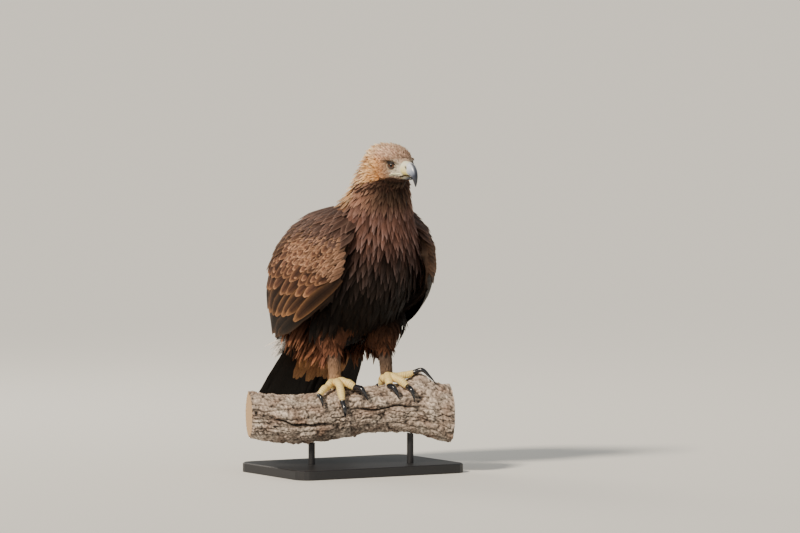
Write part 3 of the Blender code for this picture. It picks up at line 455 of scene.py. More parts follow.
# Bill rows give the culmen point, the lower edge point and the half width.
CERE_ROWS = (
    (0.0500, 0.0080, 0.0500, -0.0215, 0.0140),
    (0.0560, 0.0075, 0.0565, -0.0215, 0.0125),
    (0.0620, 0.0068, 0.0625, -0.0215, 0.0115),
    (0.0665, 0.0060, 0.0665, -0.0217, 0.0106),
    (0.0715, 0.0050, 0.0710, -0.0222, 0.0099),
)
BILL_ROWS = (
    (0.0708, 0.0041, 0.0702, -0.0217, 0.0093),
    (0.0740, 0.0038, 0.0730, -0.0225, 0.0092),
    (0.0820, -0.0005, 0.0780, -0.0245, 0.0082),
    (0.0885, -0.0080, 0.0812, -0.0275, 0.0070),
    (0.0930, -0.0180, 0.0835, -0.0315, 0.0056),
    (0.0945, -0.0290, 0.0855, -0.0365, 0.0040),
    (0.0930, -0.0390, 0.0878, -0.0415, 0.0022),
    (0.0908, -0.0450, 0.0895, -0.0448, 0.0009),
)
JAW_ROWS = (
    (0.0500, -0.0235, 0.0500, -0.0310, 0.0110),
    (0.0600, -0.0235, 0.0600, -0.0312, 0.0090),
    (0.0700, -0.0245, 0.0700, -0.0312, 0.0068),
    (0.0765, -0.0262, 0.0760, -0.0308, 0.0045),
    (0.0790, -0.0278, 0.0788, -0.0300, 0.0020),
)
NOSTRIL_PLACE = Vector((0.0670, 0.0102, -0.0058))
# Each cloak row gives z, half width, middle y and the depths to the front and the back of the folded wings.
CLOAK_ROWS = np.array((
    (0.372, 0.064, -0.005, 0.064, 0.050),
    (0.352, 0.106, 0.005, 0.115, 0.075),
    (0.322, 0.137, 0.018, 0.150, 0.095),
    (0.285, 0.158, 0.033, 0.180, 0.110),
    (0.240, 0.168, 0.050, 0.195, 0.120),
    (0.190, 0.163, 0.068, 0.200, 0.125),
    (0.140, 0.146, 0.085, 0.195, 0.125),
    (0.090, 0.124, 0.105, 0.190, 0.125),
    (0.040, 0.105, 0.140, 0.170, 0.120),
    (-0.040, 0.088, 0.180, 0.150, 0.105),
))
FRONT_POWER = 2.2
BACK_POWER = 2.6
# Each arm row gives the turn round the body and the arm's top and lower heights.
ARM_ROWS = (
    (-52.0, 0.285, 0.232),
    (-46.0, 0.318, 0.200),
    (-34.0, 0.340, 0.178),
    (-18.0, 0.356, 0.148),
    (0.0, 0.364, 0.118),
    (20.0, 0.366, 0.104),
    (38.0, 0.364, 0.104),
    (54.0, 0.352, 0.125),
    (68.0, 0.332, 0.165),
    (80.0, 0.305, 0.205),
)
PERCH_TURN = -20.0
FOOT_REACH = 0.0548
HEEL_HEIGHT = 0.090
TARSUS_RADIUS = 0.0165
THIGH_TOP_APART = 0.058
# Each thigh row gives the height, shift to the back, half width and the depths to the front and the back.
THIGH_ROWS = (
    (0.076, 0.014, 0.0240, 0.0240, 0.038),
    (0.092, 0.014, 0.0330, 0.0330, 0.054),
    (0.115, 0.014, 0.0420, 0.0430, 0.066),
    (0.150, 0.020, 0.0470, 0.0520, 0.072),
    (0.190, 0.030, 0.0430, 0.0520, 0.062),
)
TAIL_ROOT = np.array((0.0, 0.092, 0.148))
TAIL_SLOPE = math.radians(50.0)
TAIL_AHEAD = np.array((0.0, math.cos(TAIL_SLOPE), -math.sin(TAIL_SLOPE)))
TAIL_UP = np.array((0.0, math.sin(TAIL_SLOPE), math.cos(TAIL_SLOPE)))
TAIL_LENGTH = 0.300
TAIL_HALF_FAN = 4.8
TAIL_ROOT_HALF = 0.080
# Each rump row gives the reach along the tail, the half width, the height above and the depth below.
RUMP_ROWS = (
    (-0.020, 0.046, 0.014, 0.020),
    (0.030, 0.068, 0.009, 0.020),
    (0.080, 0.074, 0.006, 0.014),
    (0.112, 0.056, 0.004, 0.006),
)

COAT_DEPTH = 0.008
HEAD_COAT = 0.0020
TARSUS_COAT = 0.0028
SKIN_VOXEL = 0.0028
HEAD_VOXEL = 0.0011


def head_frame():
    """The matrix from the head's frame (ahead, left, up) to the bird's frame."""
    turn = math.radians(HEAD_TURN)
    ahead = Vector((math.sin(turn), -math.cos(turn), 0.0))
    left = Z_AXIS.cross(ahead).normalized()
    return Matrix.Translation(HEAD_CENTRE) @ Matrix((ahead, left, ahead.cross(left))).transposed().to_4x4()


HEAD = head_frame()


def body_rings(sides=56, count=70):
    """Rings of the neck and torso, inside the coat."""
    rows = dense(BODY_ROWS, count)[:, 1:]
    rings = []
    for index, (y, z, half, back, breast) in enumerate(rows):
        before, after = rows[max(index - 1, 0)], rows[min(index + 1, count - 1)]
        ahead = Vector((0.0, after[0] - before[0], after[1] - before[1])).normalized()
        up = Vector((0.0, ahead.z, -ahead.y))
        # The coat thins out up the neck.
        deep = COAT_DEPTH * (1.0 - 0.4 * min(max((z - 0.36) / 0.08, 0.0), 1.0))
        rings.append(oval(Vector((0.0, y, z)), X_AXIS, up, half - deep, back - deep, breast - deep, sides, 2.15))
    return rings


def head_rings(sides=48, count=44):
    """Rings of the head, inside its short feathers."""
    rings = []
    for forward, half, above, below in dense(HEAD_ROWS, count)[:, 1:]:
        ring = oval(Vector((forward, 0.0, 0.0)), Y_AXIS, Z_AXIS, half - HEAD_COAT, above - HEAD_COAT,
                    below - HEAD_COAT, sides, 2.2)
        rings.append([HEAD @ point for point in ring])
    return rings


def leg_place(way):
    """Where a foot stands: way is 1 for the left and -1 for the right."""
    turn = math.radians(PERCH_TURN)
    return Vector((math.cos(turn), math.sin(turn), 0.0)) * (FOOT_REACH * way)


def thigh_rings(way):
    """Rings of a thigh, inside its loose feathers."""
    foot, hip = leg_place(way), Vector((THIGH_TOP_APART * way, 0.0, 0.0))
    rings = []
    for height, off, half, deep, back in dense(THIGH_ROWS, 24)[:, 1:]:
        part = min(max((height - 0.10) / 0.08, 0.0), 1.0)
        centre = foot.lerp(hip, part) + Vector((0.0, off, height))
        rings.append(oval(centre, X_AXIS, Y_AXIS, half - COAT_DEPTH, back - COAT_DEPTH, deep - COAT_DEPTH, 36))
    return rings


def tarsus_rings(way, count=14):
    """Rings of a feathered shank, from the foot into the thigh."""
    base = perch_point(FOOT_REACH * way, 0.0, 0.010)
    top = leg_place(way) + Vector((0.0, 0.012, HEEL_HEIGHT + 0.030))
    rings = []
    for part in np.linspace(0.0, 1.0, count):
        radius = TARSUS_RADIUS * (0.90 + 0.30 * part ** 1.5) - TARSUS_COAT
        rings.append(oval(base.lerp(top, part), X_AXIS, Y_AXIS, radius * 0.94, radius, radius * 0.96, 24))
    return rings


def cloak_face(way, turn, height):
    """Points on the outer face of the folded wings: turn 0 is square to the side, negative to the front."""
    half, middle, front, back = read(CLOAK_ROWS, height)
    angle = np.radians(turn)
    forward = np.asarray(turn) < 0.0
    power = np.where(forward, FRONT_POWER, BACK_POWER)
    depth = np.where(forward, front, back)
    x = half * np.abs(np.cos(angle)) ** (2.0 / power)
    y = middle + depth * np.sign(angle) * np.abs(np.sin(angle)) ** (2.0 / power)
    return np.stack([way * x, y, height], -1)


def cloak_normal(way, turn, height):
    """The outward direction of the cloak."""
    along = cloak_face(way, turn + 4.0, height) - cloak_face(way, turn - 4.0, height)
    up = cloak_face(way, turn, height + 0.012) - cloak_face(way, turn, height - 0.012)
    out = np.cross(along, up) * way
    return out / np.linalg.norm(out, axis=-1, keepdims=True)


# The arm keeps this far inside its coverts' edge above, below and under their face, and stops short at the back.
ARM_IN_TOP, ARM_IN_LOW, ARM_UNDER, ARM_SHORT = 0.006, 0.012, 0.0045, 0.93


def arm_rings(way, count=30, sides=16):
    """The wing's arm under its coverts, as rings across the wing."""
    part = np.linspace(0.0, 1.0, sides)
    swell = np.sin(math.pi * (0.12 + 0.76 * part)) ** 0.5
    rooted = np.clip((part - 0.62) / 0.30, 0.0, 1.0) ** 2
    rings = []
    for turn, top, low in dense(ARM_ROWS, count)[:, 1:]:
        top, low = top - ARM_IN_TOP, low + ARM_IN_LOW
        height = low + (top - low) * part
        turns = np.full(sides, turn * (ARM_SHORT if turn > 0.0 else 1.0))
        face, out = cloak_face(way, turns, height), cloak_normal(way, turns, height)
        outer = face - out * ARM_UNDER
        inner = face - out * (0.0055 + 0.010 * swell + 0.075 * rooted)[:, None]
        rings.append([Vector(point) for point in np.concatenate([outer, inner[::-1]])])
    return rings


# ---------------------------------------------------------------- the branch
# Each perch row gives the place along it, the middle height and the radius.
PERCH_ROWS = np.array((
    (-0.238, -0.063, 0.0490),
    (-0.190, -0.070, 0.0510),
    (-0.138, -0.076, 0.0520),
    (-0.070, -0.067, 0.0550),
    (0.000, -0.056, 0.0520),
    (0.045, -0.054, 0.0500),
    (0.100, -0.052, 0.0540),
    (0.150, -0.060, 0.0600),
    (0.190, -0.068, 0.0620),
))
KNOT_ALONG, KNOT_ANGLE, KNOT_HEIGHT, KNOT_SPREAD = 0.124, -8.0, 0.021, 0.024
BARK_DEPTH = 0.0045
BARK_RADIUS = 0.052
FURROW_DEPTH, CRACK_DEPTH, PLATE_RELIEF, FLAKE_RELIEF, GRAIN_RELIEF = 0.0062, 0.0060, 0.0024, 0.0014, 0.0019
# The darkest bark colour is painted shade, laid into furrows, splits and cracks.
BARK_SHADE, BARK_PALE, BARK_WARM, BARK_GREY = (srgb(code) for code in ("#1E1612", "#F2E4D4", "#9A7660", "#706A66"))
# A wave texture makes 20 turns of a circle in each unit, so that many metres lie between rings at scale 1.
RING_STEP = 2.0 * math.pi / 20.0
GROWTH_RING = 0.006545


def perch_point(along, angle, lift=0.0):
    """A point of the bark at a place along the branch and an angle from its top to its front."""
    middle, radius = (float(value) for value in read(PERCH_ROWS, along))
    spin, turn = math.radians(angle), math.radians(PERCH_TURN)
    ahead = Vector((math.cos(turn), math.sin(turn), 0.0))
    front = Vector((math.sin(turn), -math.cos(turn), 0.0))
    out = front * math.sin(spin) + Z_AXIS * math.cos(spin)
    sample = Vector((along * 26.0, math.cos(spin) * 2.2, math.sin(spin) * 2.2))
    ridge = noise.noise(sample) + 0.6 * noise.noise(sample * 2.3 + Vector((7.0, 3.0, 1.0)))
    knot_turn = (angle - KNOT_ANGLE + 180.0) % 360.0 - 180.0
    knot_far = ((along - KNOT_ALONG) / KNOT_SPREAD) ** 2 + (math.radians(knot_turn) * radius / KNOT_SPREAD) ** 2
    radius += BARK_DEPTH * ridge + KNOT_HEIGHT * math.exp(-knot_far)
    return ahead * along + Vector((0.0, 0.0, middle)) + out * (radius + lift)


def shifted(spot, often, size, second, third):
    """A smooth random shift in three directions, so that lines of the bark wander."""
    return Vector([noise.noise(spot * often + Vector(off)) for off in ((0, 0, 0), second, third)]) * size


def ridge_share(value, middle, width, power=2):
    """1 on a line and less beside it."""
    return math.exp(-((value - middle) / width) ** power)


def bark_relief(along, angle):
    """How furrowed old bark is at a spot, its depth below the outer face, its grain and its plates and flakes."""
    spin = math.radians(angle)
    spot = Vector((along, math.cos(spin) * BARK_RADIUS, math.sin(spin) * BARK_RADIUS))
    warp = shifted(spot, 24.0, 0.013, (5, 1, 9), (2, 8, 4)) + shifted(spot, 90.0, 0.0040, (3, 6, 2), (9, 2, 7))
    grain = Vector((spot.x * 0.30 + warp.x * 0.6, spot.y + warp.y, spot.z + warp.z)) * 58.0
    near = noise.voronoi(grain)[0]
    fade = min(max(0.55 + 0.9 * noise.noise(spot * 40.0 + Vector((4, 4, 1))), 0.15), 1.0)
    furrow = (1.0 - min((near[1] - near[0]) / 0.26, 1.0)) * fade
    long = Vector((spot.x * 0.10 + warp.x * 0.5, spot.y + warp.y * 0.5, spot.z + warp.z * 0.5)) * 74.0
    second = noise.voronoi(long)[0]
    split = 1.0 - min((second[1] - second[0]) / 0.16, 1.0)
    rough = noise.fractal(spot * 190.0, 0.8, 2.1, 5)
    crack_line = 84.0 + 9.0 * noise.noise(Vector((along * 22.0, 0.0, 0.0)))
    seam_line = 104.0 + 150.0 * (along + 0.10) + 12.0 * noise.noise(Vector((along * 30.0, 4.0, 0.0)))
    crack = max(ridge_share(angle, crack_line, 3.2) * ridge_share(along, 0.045, 0.085, 4),
                ridge_share(angle, seam_line, 3.6) * ridge_share(along, -0.135, 0.075, 4))
    deep = max(furrow ** 1.6, 0.85 * split ** 1.6, crack)
    plate = 0.5 + 0.5 * noise.noise(grain * 0.5)
    flake = 0.5 + 0.5 * noise.noise(Vector((spot.x * 45.0, spot.y * 130.0, spot.z * 130.0)))
    depth = FURROW_DEPTH * deep + CRACK_DEPTH * crack + PLATE_RELIEF * plate + FLAKE_RELIEF * flake
    return deep, depth - GRAIN_RELIEF * rough, rough, plate * 0.6 + flake * 0.4


def model_branch():
    """The cut length of branch with furrowed, flaking bark and two sawn ends."""
    first, last = PERCH_ROWS[0, 0], PERCH_ROWS[-1, 0]
    rows, sides = ((330, 230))
    points, colours = [], []
    for row in range(rows):
        along = first + (last - first) * row / (rows - 1)
        for side in range(sides):
            angle = 360.0 * side / sides
            deep, depth, rough, plate = bark_relief(along, angle)
            points.append(perch_point(along, angle, 0.0004 - depth))
            tone = noise.noise(Vector((along * 38.0, angle / 26.0, 3.0))) * 0.5 + 0.5
            base = BARK_WARM * (1.0 - tone) + BARK_PALE * tone
            base = base * (0.72 + 0.28 * plate) + BARK_GREY * 0.28 * (1.0 - plate)
            base = base * (0.74 + 0.80 * rough)
            # Painted shade: furrows, splits and cracks are darkened towards near black.
            colours.append(base * (1.0 - deep) + BARK_SHADE * deep)
    grid = np.arange(rows * sides).reshape(rows, sides)
    after = np.roll(grid, -1, axis=1)
    faces = np.stack([grid[:-1], after[:-1], after[1:], grid[1:]], -1).reshape(-1, 4)
    bark = mesh_piece("perch_bark", np.array([tuple(point) for point in points]), faces)
    paint(bark, np.clip(np.array(colours), 0.0, 1.0))
    finish_piece(bark, tinted_material("cork oak bark, weathered"), "bark", "perch")
    model_sawn_ends(points[:sides], points[-sides:])


def model_sawn_ends(first_rim, last_rim):
    """The two sawn ends, each a fan of rings inside the bark's edge, with growth rings."""
    steps = (1.0, 0.75, 0.5, 0.25, 0.08)
    sets = []
    for rim, way in ((first_rim, -1), (last_rim, 1)):
        count = len(rim)
        middle = sum(rim, Vector()) / count
        faces = []
        for start in range(0, (len(steps) - 1) * count, count):
            for side in range(count):
                after = (side + 1) % count
                faces.append((start + side, start + after, start + count + after, start + count + side)[::way])
        faces.append(tuple(range((len(steps) - 1) * count, len(steps) * count))[::way])
        sets.append(([middle.lerp(point, step) for step in steps for point in rim], faces))
    ends = mesh_piece("perch_sawn_ends", *joined(sets))
    # A saw leaves the ends of the fibres open and dry: matt, with rings about 6.5 mm apart.
    material, tree, shader = new_material("oak end grain, sawn", Roughness=0.8)
    coords = add(tree, "ShaderNodeTexCoord").outputs["Object"]
    turned = add(tree, "ShaderNodeMapping",
                 {"Location": (0.0, 0.0, -0.12), "Rotation": (0.0, 0.0, math.radians(-PERCH_TURN))},
                 {"Vector": coords})
    rings = add(tree, "ShaderNodeTexWave",
                {"wave_type": "RINGS", "rings_direction": "X", "Scale": RING_STEP / GROWTH_RING,
                 "Distortion": 5.0, "Detail": 4.0, "Detail Scale": 0.6}, {"Vector": turned.outputs["Vector"]})
    tone = add(tree, "ShaderNodeValToRGB", links={"Fac": rings.outputs["Fac"]},
               stops=((0.0, "#A58460"), (1.0, "#C6A67E")))
    tree.links.new(tone.outputs["Color"], shader.inputs["Base Color"])
    finish_piece(ends, material, "bark")


# ---------------------------------------------------------------- feathers
# A shape gives the vane's width at even places from root to tip.
LANCE = (0.30, 0.74, 0.98, 1.00, 0.86, 0.58, 0.06)
BREAST = (0.34, 0.80, 1.00, 0.98, 0.80, 0.46, 0.06)
ROUND = (0.45, 0.82, 1.00, 1.03, 0.98, 0.80, 0.26)
SHORT = (0.45, 0.95, 0.86, 0.10)
CROWN = (0.45, 0.92, 1.0, 0.72, 0.08)
FLIGHT = (0.42, 0.62, 0.78, 0.88, 0.95, 1.00, 1.02, 1.02, 1.00, 0.95, 0.82, 0.58, 0.12)
RECTRIX = (0.42, 0.58, 0.70, 0.78, 0.84, 0.90, 0.94, 0.97, 1.00, 1.02, 1.02, 0.96, 0.44)

UNWRAP_PATCH = 0.003                 # a feather's size on the OFBake map
UNWRAP_LOW, UNWRAP_TALL = -0.08, 0.62  # the heights that this map covers
UNWRAP_EDGE, UNWRAP_SPAN = 0.02, 0.96

generator = np.random.default_rng(11)


def fit_shape(shape, stations):
    """A shape read at another number of stations."""
    return np.interp(np.linspace(0.0, 1.0, stations), np.linspace(0.0, 1.0, len(shape)), shape)


def vanes(name, lines, ups, half, shape, colours, across=4, camber=0.22, ragged=0.10, roll=0.0, unwrap=None):
    """Many feathers as one mesh: their shaft lines (feather, station, xyz), outward directions, half widths and
    the colour of each station. Edges are a little ragged, and each vane is arched over its shaft."""
    count, stations = lines.shape[:2]
    ahead = np.gradient(lines, axis=1)
    ahead /= np.linalg.norm(ahead, axis=-1, keepdims=True) + 1e-12
    side = np.cross(ahead, ups)
    side /= np.linalg.norm(side, axis=-1, keepdims=True) + 1e-12
    up = np.cross(side, ahead)
    roll = np.radians(np.broadcast_to(roll, (count,)))[:, None, None]
    side, up = side * np.cos(roll) + up * np.sin(roll), up * np.cos(roll) - side * np.sin(roll)
    width = fit_shape(shape, stations)[None, :] * np.asarray(half)[:, None]
    places = np.linspace(-1.0, 1.0, across + 1)
    edge = np.abs(places) ** 1.5
    wobble = 1.0 - ragged * generator.random((count, stations, across + 1)) * edge
    offset = places * wobble * width[:, :, None]
    drop = -camber * (np.abs(places) ** 1.8) * width[:, :, None]
    slip = generator.normal(0.0, 0.5 * ragged, (count, stations, across + 1)) * edge * width[:, :, None]
    slip -= 0.35 * edge * width[:, :, None] * (np.linspace(0.0, 1.0, stations)[None, :, None] > 0.3)
    slip[:, 0] = 0.0
    points = (lines[:, :, None] + side[:, :, None] * offset[..., None] + up[:, :, None] * drop[..., None]
              + ahead[:, :, None] * slip[..., None])
    size = stations * (across + 1)
    grid = np.arange(size).reshape(stations, across + 1)
    quads = np.stack([grid[:-1, :-1], grid[:-1, 1:], grid[1:, 1:], grid[1:, :-1]], -1).reshape(-1, 4)
    faces = (quads[None] + (np.arange(count) * size)[:, None, None]).reshape(-1, 4)
    item = mesh_piece(name, points.reshape(-1, 3), faces)
    paint(item, np.clip(np.repeat(colours[:, :, None], across + 1, axis=2).reshape(-1, 3), 0.0, 1.0))
    along = np.broadcast_to(np.linspace(0.0, 1.0, stations)[None, :, None], points.shape[:3])
    over = np.broadcast_to((places + 1.0) / 2.0, points.shape[:3])
    vane = np.stack([over, along], -1).reshape(-1, 2)
    if unwrap is None:
        unwrap = body_unwrap(lines[:, 0])
    patch = (unwrap[:, None, None] + np.stack([over - 0.5, along - 0.5], -1) * UNWRAP_PATCH).reshape(-1, 2)
    for layer_name, spots in (("vane", vane), ("OFBake", patch)):
        layer = item.data.uv_layers.new(name=layer_name)
        layer.uv.foreach_set("vector", spots[faces.ravel()].astype(np.float32).ravel())
    return item


def body_unwrap(roots):
    """Places of feather roots on the skin, unrolled round the body's own axis."""
    axis = np.interp(roots[:, 2], [0.0, 0.10, 0.24, 0.372, 0.486], [0.02, 0.115, -0.008, -0.070, -0.108])
    turn = np.arctan2(roots[:, 0], roots[:, 1] - axis) / (2.0 * math.pi) + 0.5
    height = UNWRAP_EDGE + UNWRAP_SPAN * (roots[:, 2] - UNWRAP_LOW) / UNWRAP_TALL
    return np.stack([UNWRAP_EDGE + UNWRAP_SPAN * turn, np.clip(height, 0.0, 1.0)], -1)


def tone_vary(colours, spread):
    """The same colours, each feather a little lighter or darker."""
    vary = 1.0 + generator.normal(0.0, spread, (len(colours), 1, 1))
    return colours * np.clip(vary, 0.55, 1.6)


def along_vane(*values):
    """Values from a feather's root to its tip, ready to spread over feathers and colours."""
    return np.array(values)[None, :, None]


def lay_feathers(name, stuff, slot, lines, ups, half, shape, colours, vary, roll=0.0, **form):
    """One coat of feathers as a dressed piece, each feather with its own tone and a little roll."""
    colours = tone_vary(colours, vary)
    rolls = generator.normal(0.0, roll, len(lines)) if roll else 0.0
    item = vanes(name, lines, ups, half, shape, colours, roll=rolls, **form)
    finish_piece(item, feather_material(stuff), slot)


# ---------------------------------------------------------------- skin and its coat
def remeshed(name, forms, voxel, rounds):
    """One closed mesh round several overlapping forms, then relaxed."""
    form = mesh_piece(name, *joined(forms))
    remesh = form.modifiers.new("one_skin", "REMESH")
    remesh.mode = "VOXEL"
    remesh.voxel_size = voxel
    relax = form.modifiers.new("relax", "SMOOTH")
    relax.factor, relax.iterations = 0.5, rounds
    return baked(form)


# Each brow row gives the distance forward, to the side and up in the head's frame, and the ridge's size.
BROW_ROWS = (
    (0.0450, 0.0165, 0.0020, 0.0012),
    (0.0400, 0.0225, 0.0070, 0.0026),
    (0.0335, 0.0275, 0.0092, 0.0034),
    (0.0260, 0.0315, 0.0090, 0.0034),
    (0.0190, 0.0345, 0.0076, 0.0022),
    (0.0140, 0.0350, 0.0066, 0.0010),
)


def brow_rings(way):
    """The bony ridge that overhangs the eye, from the lore back to the cheek."""
    side = Vector((0.55, way, 0.10)).normalized()
    rings = []
    for forward, out, rise, size in dense(BROW_ROWS, 22)[:, 1:]:
        ring = oval(Vector((forward, out * way, rise)), side, Z_AXIS, size * 1.25, size * 0.62, size * 0.50, 14)
        rings.append([HEAD @ point for point in ring])
    return rings


def model_skin():
    """One skin under the coat: torso, neck, head with its brows, thighs and shanks."""
    forms = [loft(body_rings())]
    for way in WAYS:
        forms += [loft(thigh_rings(way)), loft(tarsus_rings(way))]
    form = remeshed("skin", forms, SKIN_VOXEL, 6)
    head = remeshed("head_form", [loft(head_rings())] + [loft(brow_rings(way)) for way in WAYS], HEAD_VOXEL, 3)
    union = form.modifiers.new("union", "BOOLEAN")
    union.operation, union.object, union.solver = "UNION", head, "MANIFOLD"
    baked(form)
    bpy.data.objects.remove(head)
    form.data.polygons.foreach_set("use_smooth", np.ones(len(form.data.polygons), dtype=bool))
    return form


# Roots are thrown at random, so many for each one that is wanted, and one too near to another is dropped.
THROWS = 5.0
LEAST_GAP = 0.85                     # of the spacing
# A feather lies on the skin while its next step lands close to it, without a sharp turn or an underside.
OFF_SKIN = 0.45                      # of a step
SHARP_TURN = 0.55
UNDERSIDE = -0.62


class Coat:
    """The skin as the coat sees it: its triangles, its nearest points and its lie."""

    def __init__(self, form):
        mesh = form.data
        mesh.calc_loop_triangles()
        self.points = corners(form)
        faces = np.empty(len(mesh.loop_triangles) * 3, np.int32)
        mesh.loop_triangles.foreach_get("vertices", faces)
        self.faces = faces.reshape(-1, 3)
        self.near = BVHTree.FromPolygons(self.points.tolist(), self.faces.tolist())

    def scatter(self, spacing, wanted):
        """Roots spread evenly over the wanted part of the skin, its direction there and the lie of the coat."""
        a, b, c = (self.points[self.faces[:, index]] for index in range(3))
        cross = np.cross(b - a, c - a)
        area = np.linalg.norm(cross, axis=1) / 2.0
        middle = (a + b + c) / 3.0
        gap = spacing(middle) if callable(spacing) else np.full(len(middle), spacing)
        weight = area / gap ** 2 * wanted(middle)
        count = int(weight.sum() * THROWS)
        picked = generator.choice(len(weight), count, p=weight / weight.sum())
        first, second = generator.random((2, count))
        flip = first + second > 1.0
        first, second = np.where(flip, 1.0 - first, first), np.where(flip, 1.0 - second, second)
        spots = a[picked] + (b - a)[picked] * first[:, None] + (c - a)[picked] * second[:, None]
        gaps = gap[picked]
        tree = kdtree.KDTree(count)
        for index, spot in enumerate(spots):
            tree.insert(spot, index)
        tree.balance()
        free = np.ones(count, bool)
        kept = []
        for index in range(count):
            if free[index]:
                kept.append(index)
                for _, other, _ in tree.find_range(spots[index], gaps[index] * LEAST_GAP):
                    free[other] = False
        normals = cross[picked[kept]]
        roots = spots[kept]
        return roots, normals / np.linalg.norm(normals, axis=1, keepdims=True), lie_of_coat(roots)

    def combed(self, roots, normals, lie, length, sink, tips, stations):
        """Shaft lines that start a little under the skin, rise to their tips' heights over it along the lie, and
        hang free where it turns away."""
        lines = np.empty((len(roots), stations, 3))
        ups = np.empty_like(lines)
        for index, root in enumerate(roots):
            spot, up = Vector(root), Vector(normals[index])
            step = length[index] / (stations - 1)
            flow = Vector(lie[index])
            free = False
            for station in range(stations):
                part = station / (stations - 1)
                lines[index, station] = spot + up * ((tips[index] + sink) * part ** 0.8 - sink)
                ups[index, station] = up
                ahead = (flow - up * flow.dot(up)).normalized()
                following = spot + ahead * step
                place, out, _, far = self.near.find_nearest(following)
                lies_on = far < OFF_SKIN * step + 0.001 and out.dot(up) > SHARP_TURN and out.z > UNDERSIDE
                free = free or not lies_on
                if free:
                    spot = following
                else:
                    spot = place
                    up = (up * 0.4 + out * 0.6).normalized()
        return lines, ups


def in_head(spots):
    """The spots in the head's own frame."""
    turn = np.array(HEAD.inverted())
    return spots @ turn[:3, :3].T + turn[:3, 3]


def mirrored(place, way):
    """The same place on the head's left (1) or right (-1)."""
    return Vector((place.x, place.y * way, place.z))


def eye_distance(local):
    """How far spots in the head's frame are from the nearer eye."""
    return np.minimum(*[np.linalg.norm(local - np.array(mirrored(EYE_PLACE, way)), axis=1) for way in WAYS])


def lie_of_coat(spots):
    """The way that feathers point: back from the bill over the head, then down the body and legs."""
    down = np.tile(np.array((0.0, 0.42, -0.90)), (len(spots), 1))
    local = in_head(spots)
    away = local - np.array((0.062, 0.0, -0.012))
    away[:, 2] -= 0.020 * smooth_step(-local[:, 0], -0.02, 0.05)
    away /= np.linalg.norm(away, axis=1, keepdims=True)
    away = away @ np.array(HEAD)[:3, :3].T
    share = smooth_step(spots[:, 2], 0.400, 0.452) * smooth_step(local[:, 0], -0.075, -0.02)
    legs = smooth_step(-spots[:, 2], -0.15, -0.10)
    flow = washed(down, (share, away), (legs, np.array((0.0, 0.10, -1.0))))
    flow += generator.normal(0.0, 0.07, flow.shape)
    return flow / np.linalg.norm(flow, axis=1, keepdims=True)


def cloaked(spots):
    """Which spots lie under a folded wing."""
    _, middle, front, back = read(CLOAK_ROWS, spots[:, 2])
    off = spots[:, 1] - middle
    depth = np.where(off < 0.0, front, back)
    turn = np.degrees(np.arcsin(np.clip(off / depth, -1.0, 1.0)))
    table = np.array(ARM_ROWS)
    top, low = np.interp(turn, table[:, 0], table[:, 1]), np.interp(turn, table[:, 0], table[:, 2])
    inside = (turn > -40.0) & (turn < 62.0) & (spots[:, 2] < top - 0.045) & (spots[:, 2] > low + 0.01)
    return inside & (np.abs(spots[:, 0]) > 0.03)


def front_share(spots, begin=-0.35, end=0.35):
    """1 on the bird's throat and breast, 0 on its back."""
    heights = (0.10, 0.24, 0.372, 0.486)
    axis = np.interp(spots[:, 2], heights, (0.115, -0.008, -0.070, -0.108))
    half = np.interp(spots[:, 2], heights, (0.05, 0.108, 0.078, 0.040))
    return smooth_step(-(spots[:, 1] - axis) / half, begin, end)


def chin_share(local):
    """1 on the chin and throat below the gape, dark brown and in painted shade under the bill, 0 on the cheek."""
    ahead = local[:, 0]
    edge = -0.0232 - 0.20 * np.clip(0.030 - ahead, 0.0, 0.060) - 0.15 * np.clip(ahead - 0.040, 0.0, 0.02)
    return smooth_step(edge - local[:, 2], 0.0, 0.0035)


def lore_share(local):
    """1 on the pale bare-looking lores between the eye and the bill."""
    return (smooth_step(local[:, 0], 0.032, 0.040) * smooth_step(-local[:, 2], -0.010, -0.003)
            * smooth_step(local[:, 2], -0.0238, -0.0214))


def brow_shade(local):
    """1 in the painted shadow line under the brow, from the front of the eye to behind it."""
    off = local[:, 0] - EYE_PLACE.x
    line = EYE_PLACE.z + 0.0072 - 0.26 * np.maximum(off - 0.002, 0.0)
    return np.exp(-((local[:, 2] - line) / 0.0033) ** 2) * np.exp(-((off - 0.0060) / 0.0120) ** 4)


# In every coat, heights are those of the bird's frame, and the colours start at the feather's root.
GOLD, GOLD_TIP = "#B98150", "#F0DEBA"
# The brow's colour is painted shadow; the chin's is its own dark brown, deepened with painted shade under the bill.
CHIN_BROWN_AND_SHADE, BROW_SHADOW, LORE_PALE = "#38261E", "#2A1A12", "#D2C8B6"
EYE_CLEARANCE = 0.0112               # no feather is rooted nearer to the eye's middle


